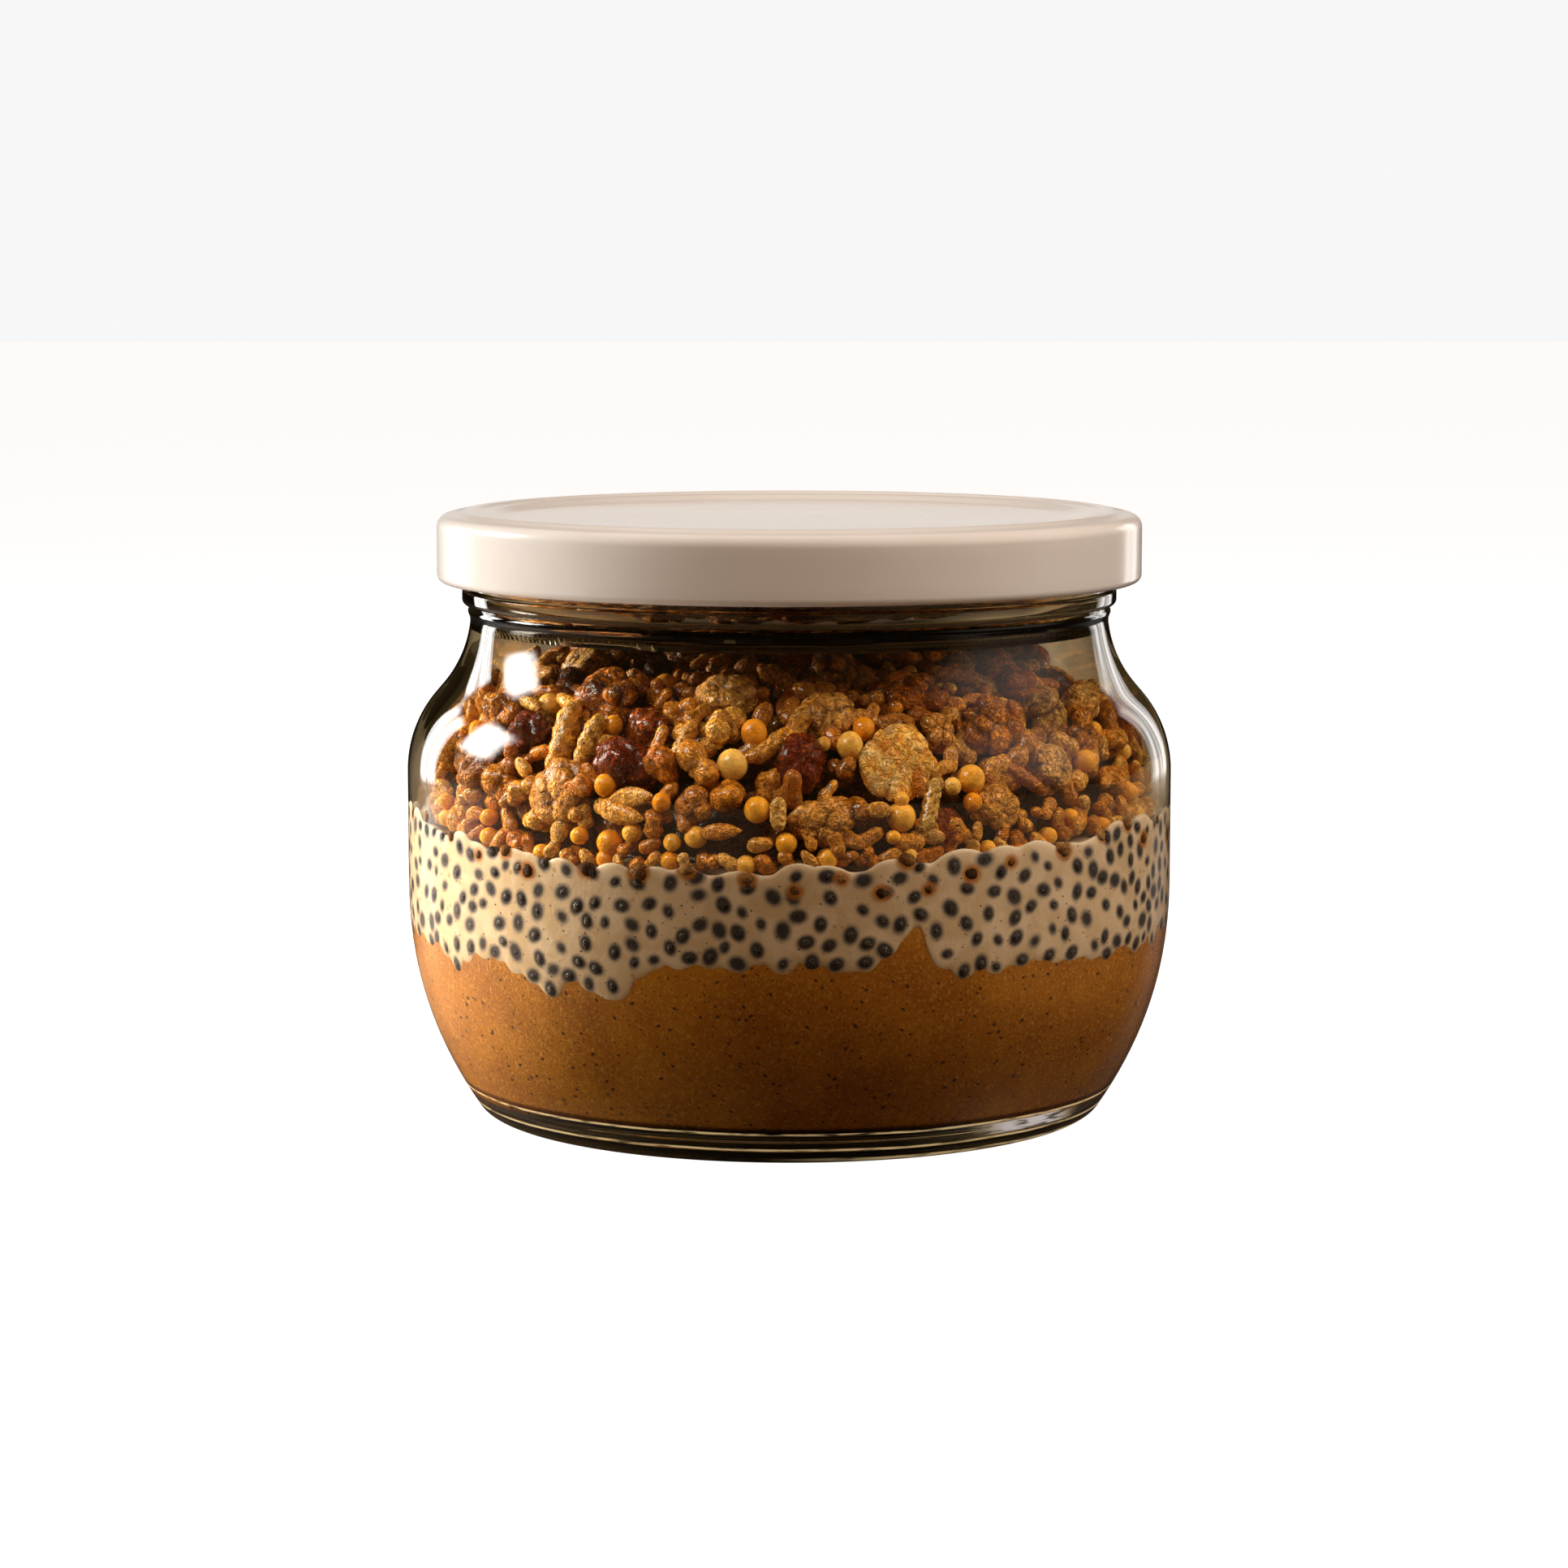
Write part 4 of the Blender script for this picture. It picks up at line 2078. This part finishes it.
    def __post_init__(self) -> None:
        """Works out the heap's outline, from its top to the wall."""
        angles = np.linspace(0.0, math.pi / 2.0, 400)
        radii = self.radius * np.sin(angles) ** (2.0 / self.roundness)
        heights = self.foot + (self.top - self.foot) * np.cos(angles) ** (2.0 / self.fullness)
        self.outline = np.stack([radii, heights], axis=1)
        steps = np.diff(self.outline, axis=0)
        lengths = np.hypot(steps[:, 0], steps[:, 1])
        middle = (self.outline[1:, 0] + self.outline[:-1, 0]) / 2.0
        self.area = np.concatenate([[0.0], np.cumsum(lengths * middle)])
        self.rng = np.random.default_rng(7)
        self.maker = ShapeMaker(self.rng)
        self.sheets = {kind: Sheet() for kind in Kind}
        self.centres = np.empty((0, 3))
        self.sizes = np.empty(0)

    def _surface(self, share: float, azimuth: float) -> tuple[Array, Array]:
        """Gives a place on the heap and its outward direction.

        Args:
            share: how far from the top, by area, from 0 to 1.
            azimuth: the azimuth in radians.

        Returns:
            The place and the direction.
        """
        index = int(np.searchsorted(self.area, share * self.area[-1]))
        index = min(max(index, 1), len(self.outline) - 2)
        radius, height = self.outline[index]
        step = self.outline[index + 1] - self.outline[index - 1]
        lean = np.array([-step[1], step[0]]) / np.hypot(*step)
        across = outward_at(azimuth)
        up = np.array([0.0, 0.0, 1.0])
        return across * radius + up * height, across * lean[0] + up * lean[1]

    def _share_at(self, height: float) -> float:
        """Gives the share of the area above a height."""
        index = int(np.searchsorted(-self.outline[:, 1], -height))
        return float(self.area[min(index, len(self.area) - 1)] / self.area[-1])

    def _shape(self, kind: Kind, fine: bool) -> Shape:
        """Makes a piece by its kind's method; clusters and rosettes seen close are fine ones."""
        make = getattr(self.maker, kind.name.lower())
        return make(fine) if kind in (Kind.CLUSTER, Kind.ROSETTE) else make()

    def _lay(
        self, shape: Shape, centre: Array, normal: Array, size: float, spin: float, lean: float
    ) -> Array:
        """Turns a piece's face outward and sets it down clear of the glass.

        Args:
            shape: the piece.
            centre: its middle.
            normal: the direction that its face looks in.
            size: its half length.
            spin: its turn in its own plane.
            lean: how far it may lean, in radians.

        Returns:
            The placed points.
        """
        tilt = normal / np.linalg.norm(normal) + math.tan(lean) * self.rng.standard_normal(3) * 0.6
        tilt /= np.linalg.norm(tilt)
        level = np.cross([0.0, 0.0, 1.0], tilt)
        if np.linalg.norm(level) < 0.05:
            level = np.array([1.0, 0.0, 0.0])
        level /= np.linalg.norm(level)
        rise = np.cross(tilt, level)
        along = level * math.cos(spin) + rise * math.sin(spin)
        beside = np.cross(tilt, along)
        points = shape.points * size @ np.stack([along, beside, tilt]) + centre
        radius = np.hypot(points[:, 0], points[:, 1])
        over = float((radius - self.layers.jar.inner_radius(points[:, 2])).max()) + self.clearance
        if over > 0.0:
            outward = np.array([centre[0], centre[1], 0.0])
            points -= outward / np.linalg.norm(outward) * over
        return points

    def _add(self, kind: Kind, shape: Shape, points: Array, tone: float, deep: float) -> None:
        """Adds a laid piece to the pieces of its kind.

        Args:
            kind: its kind.
            shape: the piece.
            points: its placed points.
            tone: 0 for toasted, 1 for pale.
            deep: how much darker it is for lying deep.
        """
        fold = np.clip(shape.fold + deep, 0.0, 1.0)
        self.sheets[kind].add(points, shape.faces, tone=tone, fold=fold)
        self.centres = np.vstack([self.centres, points.mean(axis=0)])
        self.sizes = np.append(self.sizes, np.linalg.norm(points - points.mean(axis=0), axis=1).mean())

    def _place_heroes(self) -> None:
        """Sets down the pieces that the eye picks out."""
        for hero in self.heroes:
            share = self._share_at(hero.height)
            place, normal = self._surface(share, math.radians(hero.azimuth))
            shape = self._shape(hero.kind, fine=True)
            thick = float(shape.points[:, 2].max()) * hero.size
            centre = place - normal * (thick * 0.3)
            points = self._lay(shape, centre, normal * (1.0, 1.0, self.facing), hero.size, hero.spin, 0.12)
            self._add(hero.kind, shape, points, hero.tone, 0.0)

    def _scatter(self, batch: Batch, deep: float) -> None:
        """Scatters a batch where there is room.

        Args:
            batch: the batch.
            deep: how much darker its pieces are for lying deep.
        """
        laid = 0
        for _ in range(batch.tries):
            if laid >= batch.limit:
                return
            azimuth = self.rng.uniform(-math.pi, math.pi)
            place, normal = self._surface(self.rng.uniform(*batch.zone), azimuth)
            size = self.rng.uniform(*batch.size)
            centre = place - normal * (size * (batch.sunk + self.rng.uniform(-0.2, 0.7)))
            lowest = float(self.layers.pudding_top(np.array(azimuth))) + self.rng.uniform(-0.1, 0.5) * size
            centre[2] = max(centre[2], lowest)
            if abs(azimuth - self.hollow[0]) < self.hollow[1] and centre[2] > self.hollow[2]:
                continue
            distance = np.linalg.norm(self.centres - centre, axis=1)
            if (distance < (self.sizes + size * 0.75) * batch.room).any():
                continue
            shape = self._shape(batch.kind, fine=False)
            spin = self.rng.uniform(0.0, TURN)
            points = self._lay(shape, centre, normal * (1.0, 1.0, self.facing), size, spin, 0.35)
            shadow = deep + float(self.rng.choice([0.0, 0.15, 0.35], p=[0.6, 0.25, 0.15]))
            edge, run = self.shaded_radius
            foot, rise = self.shaded_height
            inward = np.clip((edge - math.hypot(centre[0], centre[1])) / run, 0.0, 1.0)
            shadow += self.neck_shade * float(inward * np.clip((centre[2] - foot) / rise, 0.0, 1.0))
            self._add(batch.kind, shape, points, float(self.rng.beta(1.4, 1.4)), shadow)
            laid += 1

    def _line_edge(self, row: int) -> None:
        """Sets small pieces side by side along the pudding's upper edge.

        Args:
            row: 0 for the row that is half sunk, 1 for the one above it.
        """
        azimuth = -math.pi
        index = row
        while azimuth < math.pi:
            kind, sizes = self.edging[index % len(self.edging)]
            size = self.rng.uniform(*sizes)
            step = size * (0.8 + 0.3 * row) / self.radius
            azimuth += step
            height = float(self.layers.pudding_top(np.array(azimuth))) + self.rng.uniform(-0.1, 0.6) * size
            outward = outward_at(azimuth)
            centre = outward * (self.radius - size * (0.6 + 0.4 * row))
            centre[2] = height + self.row_rise * row
            azimuth += step
            index += 1
            if row and (np.linalg.norm(self.centres - centre, axis=1) < self.sizes + size * 0.4).any():
                continue
            shape = self._shape(kind, fine=False)
            points = self._lay(shape, centre, outward, size, self.rng.uniform(0.0, 6.0), 0.35)
            self._add(kind, shape, points, float(self.rng.beta(2.2, 2.2)), 0.0)

    def _build_core(self) -> None:
        """Builds the dark core under the pieces."""
        sides = 120
        azimuths = even_turns(sides)
        keep = self.outline[::16]
        scale = 1.0 - self.core_inset / self.radius
        top = np.repeat(keep[:, None, :], sides, axis=1)
        ripple = Ripple(self.rng, 40, 0.06, 0.22)
        spots = around_axis(top[..., 0], top[..., 1], azimuths)
        relief = ripple(spots.reshape(-1, 3)).reshape(spots.shape[:2]) * self.core_relief
        top[..., 0] = np.clip(top[..., 0] * scale + relief * (top[..., 0] > 1.0), 0.0, None)
        top[..., 1] += relief - self.core_inset * 0.8
        top[0, :, 0] = 0.0
        top[0, :, 1] = self.top - self.core_inset
        top[..., 1] = np.maximum(top[..., 1], self.foot - 2.0)
        bottom = np.zeros((1, sides, 2))
        bottom[..., 1] = self.foot - 3.0
        points, faces = turned(np.concatenate([bottom, top[::-1]]), azimuths)
        sheet = Sheet()
        sheet.add(points, faces, tone=0.0, fold=1.0)
        core = sheet.piece("granola_core", "granola", FINISHES[Kind.NUGGET].material())
        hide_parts("granola")

    def build(self) -> None:
        """Builds the heap over its solid."""
        self._place_heroes()
        self._line_edge(0)
        self._line_edge(1)
        for batch in self.batches:
            self._scatter(batch, 0.0)
        self.centres = self.centres[-1:]
        self.sizes = self.sizes[-1:]
        for batch in self.filling:
            self._scatter(batch, self.deep_shade)
        self._build_core()
        for kind, sheet in self.sheets.items():
            material = FINISHES[kind].material()
            sheet.piece(f"granola_{kind.value}", "granola", material)


class Role(Enum):
    """What a lamp does.

    Each has whether it lights things, is mirrored and is seen through glass, and then the group of
    pieces that it is kept to, or nothing. The last three stand for light that the glass lets in and
    spreads, so it falls only on what the jar holds.
    """

    KEY = (True, True, True, "")
    FILL = (True, False, False, "")
    GLOSS = (False, True, False, "")
    SEEN = (False, True, True, "")
    GATHERED = (True, True, False, "contents")
    HEAPED = (True, True, False, "heap")
    GLINT = (False, True, False, "heap")


@dataclass(frozen=True)
class Softbox:
    """A lamp that looks at the jar, placed by azimuth and elevation in degrees.

    Lamps that can be mirrored have soft edges. streaks is how many bands of uneven light cross a
    lamp's width.
    """

    name: str
    role: Role
    azimuth: float
    elevation: float
    distance: float
    width: float
    height: float
    power: float
    colour: Colour = (1.0, 1.0, 1.0)
    shape: str = "RECTANGLE"
    edge: float = 0.2
    streaks: float = 0.0

    def _glow(self, lamp: bpy.types.Light) -> None:
        """Gives the lamp soft edges and uneven light.

        Args:
            lamp: the lamp.
        """
        book = NodeBook(lamp)
        spot = book.add("ShaderNodeNewGeometry", output="Parametric")
        soft = (0.0, self.edge, 1.0 - self.edge, 1.0)
        inside = book.axis(spot, "X").between(*soft) * book.axis(spot, "Y").between(*soft)
        bands = book.mapped(spot, Scale=(self.streaks, 0.6, 1.0))
        share = book.noise(bands, 1.0).above(0.35, 0.62) if self.streaks else 1.0
        glow = book.blend(inside * (0.25 + 0.75 * share), BLACK, (1.0, 1.0, 1.0))
        emission = book.add("ShaderNodeEmission", {}, {"Color": glow, "Strength": 1.0})
        book.finish(emission, "ShaderNodeOutputLight")

    def build(self, target: Array) -> None:
        """Hangs the lamp.

        Args:
            target: what it looks at, in metres.
        """
        turn, rise = math.radians(self.azimuth), math.radians(self.elevation)
        away = Vector((math.sin(turn) * math.cos(rise), -math.cos(turn) * math.cos(rise), math.sin(rise)))
        lamp = bpy.data.lights.new(self.name, "AREA")
        lamp.shape = self.shape
        lamp.size = self.width
        lamp.size_y = self.height
        lamp.energy = self.power
        lamp.color = self.colour
        if self.role is not Role.FILL:
            self._glow(lamp)
        holder = bpy.data.objects.new(self.name, lamp)
        holder.location = Vector(target) + away * self.distance
        holder.rotation_euler = (-away).to_track_quat("-Z", "Y").to_euler()
        holder.visible_diffuse, holder.visible_glossy, holder.visible_transmission, group = self.role.value
        if group:
            holder.light_linking.receiver_collection = bpy.data.collections[group]
            # Rays through glass don't meet these lamps, so the heap would lose most of its glints.
            lamp.cycles.use_multiple_importance_sampling = group == "contents"
        bpy.context.scene.collection.objects.link(holder)


@dataclass
class Studio:
    """Camera, lamps, floor and backdrop."""

    lens: float = 102.07
    camera_distance: float = 0.5407
    camera_elevation: float = 7.258
    target: tuple[float, float, float] = (0.0, 0.0, 0.037)
    aim: tuple[float, float, float] = (-0.00064, 0.0, 0.0393)
    floor_half: float = 4.0
    backdrop: float = 0.93
    ambient: Colour = (0.175, 0.070, 0.0)
    unlit: Colour = (0.036, 0.023, 0.008)
    lamps: tuple[Softbox, ...] = (
        Softbox("left_window", Role.FILL, -106.0, 22.0, 0.75, 0.22, 0.28, 4.05, (0.98, 0.99, 1.0)),
        Softbox("window_seen", Role.SEEN, -111.0, 22.0, 0.72, 0.25, 0.29, 4.0, (1.0, 0.98, 0.96), edge=0.3),
        Softbox("left_low", Role.FILL, -92.0, -5.0, 0.25, 0.25, 0.03, 0.42, (1.0, 0.96, 0.90)),
        Softbox("front_low", Role.FILL, 0.0, -2.0, 0.45, 0.5, 0.03, 0.06, (1.0, 0.72, 0.50)),
        Softbox("right_low", Role.FILL, 78.0, -3.0, 0.4, 0.3, 0.03, 0.12, (1.0, 0.84, 0.70)),
        Softbox("overhead", Role.FILL, 0.0, 85.0, 0.7, 0.5, 0.5, 1.4, (1.0, 0.98, 0.97)),
        Softbox("front_above", Role.FILL, 0.0, 60.0, 0.8, 0.6, 0.4, 1.1, (1.0, 0.95, 0.90)),
        Softbox("behind_above", Role.FILL, 180.0, 55.0, 0.8, 0.6, 0.4, 0.5, (1.0, 0.96, 0.93)),
        Softbox("behind_seen", Role.GLOSS, 180.0, 8.0, 0.75, 0.5, 0.18, 0.19, (0.96, 0.98, 1.0), edge=0.35),
        Softbox("right_fill", Role.FILL, 80.0, 35.0, 0.8, 0.6, 0.6, 2.9, (1.0, 0.92, 0.86)),
        Softbox(
            "right_side", Role.KEY, 86.0, 28.0, 0.8, 1.05, 0.95, 1.05, (1.0, 0.86, 0.74),
            shape="ELLIPSE", edge=0.42,
        ),
        Softbox("right_rear", Role.FILL, 145.0, -1.0, 0.8, 0.3, 0.4, 0.55, (1.0, 0.95, 0.90)),
        Softbox("gathered_left", Role.GATHERED, -115.0, 14.0, 0.6, 0.16, 0.16, 13.0, (1.0, 0.88, 0.73)),
        Softbox("heap_left", Role.HEAPED, -60.0, 38.0, 0.5, 0.08, 0.08, 1.45, (1.0, 0.93, 0.80)),
        Softbox("heap_side", Role.HEAPED, -100.0, 26.0, 0.5, 0.12, 0.12, 1.7, (1.0, 0.91, 0.76)),
        Softbox("heap_glints", Role.GLINT, -50.0, 42.0, 0.5, 0.30, 0.24, 9.0, (1.0, 0.96, 0.88)),
        Softbox("heap_right", Role.HEAPED, 66.0, 44.0, 0.5, 0.10, 0.10, 0.65, (1.0, 0.92, 0.80)),
        Softbox("gathered_right", Role.GATHERED, 92.0, 36.0, 0.6, 0.2, 0.2, 1.0, (1.0, 0.92, 0.82)),
        Softbox(
            "left_strip", Role.GLOSS, -130.5, 8.3, 0.317, 0.082, 0.165, 0.50, (1.0, 0.98, 0.95),
            edge=0.12, streaks=5.0,
        ),
        Softbox(
            "right_strip", Role.GLOSS, 139.7, 8.3, 0.312, 0.105, 0.165, 0.19, (1.0, 0.96, 0.93),
            edge=0.12, streaks=5.0,
        ),
    )

    def build_camera(self) -> None:
        """Sets up the camera that the photo's view asks for."""
        rise = math.radians(self.camera_elevation)
        camera = bpy.data.cameras.new("camera")
        camera.lens = self.lens
        camera.sensor_width = 36.0
        camera.clip_start = 0.01
        holder = bpy.data.objects.new("camera", camera)
        away = Vector((0.0, -math.cos(rise), math.sin(rise))) * self.camera_distance
        holder.location = Vector(self.target) + away
        toward = Vector(self.aim) - holder.location
        holder.rotation_euler = toward.to_track_quat("-Z", "Y").to_euler()
        bpy.context.scene.collection.objects.link(holder)
        bpy.context.scene.camera = holder

    def build_world(self) -> None:
        """Makes a pale backdrop that mirrors and glass see as a dark warm room."""
        book = NodeBook(bpy.data.worlds.new("room"))
        colours = (self.unlit, self.ambient, (self.backdrop, self.backdrop, self.backdrop))
        dark, room, pale = (book.add("ShaderNodeBackground", {}, {"Color": colour}) for colour in colours)
        fill = book.mix(book.ray("Diffuse"), dark, room)
        seen = book.mix(book.ray("Camera"), fill, pale)
        bpy.context.scene.world = book.finish(seen, "ShaderNodeOutputWorld")

    def build_floor(self) -> None:
        """Lays the pale floor just under the jar."""
        half = self.floor_half
        mesh = bpy.data.meshes.new("floor")
        corners = [(-half, -half), (half, -half), (half, half), (-half, half)]
        mesh.from_pydata([(x, y, -0.0001) for x, y in corners], [], [(0, 1, 2, 3)])
        mesh.materials.append(PaleFloor().material())
        floor = bpy.data.objects.new("floor", mesh)
        bpy.context.scene.collection.objects.link(floor)

    def build(self) -> None:
        """Builds the whole studio."""
        for group in LIT_APART:
            bpy.data.collections.new(group)
        self.build_camera()
        self.build_world()
        self.build_floor()
        for lamp in self.lamps:
            lamp.build(np.array(self.target))
        bpy.context.scene.view_settings.view_transform = "Standard"


def main() -> None:
    """Builds the studio and the jar from the outside in."""
    logging.basicConfig(level=logging.INFO, format="%(message)s")
    Studio().build()
    jar = GlassJar()
    jar.build()
    TwistLid().build(jar.rim_top)
    layers = Layers(jar)
    Oats(layers).build()
    pudding = Pudding(layers)
    pudding.build_cream()
    pudding.build_seeds()
    pudding.build_crumbs()
    Granola(layers).build()


if __name__ == "__main__":
    main()
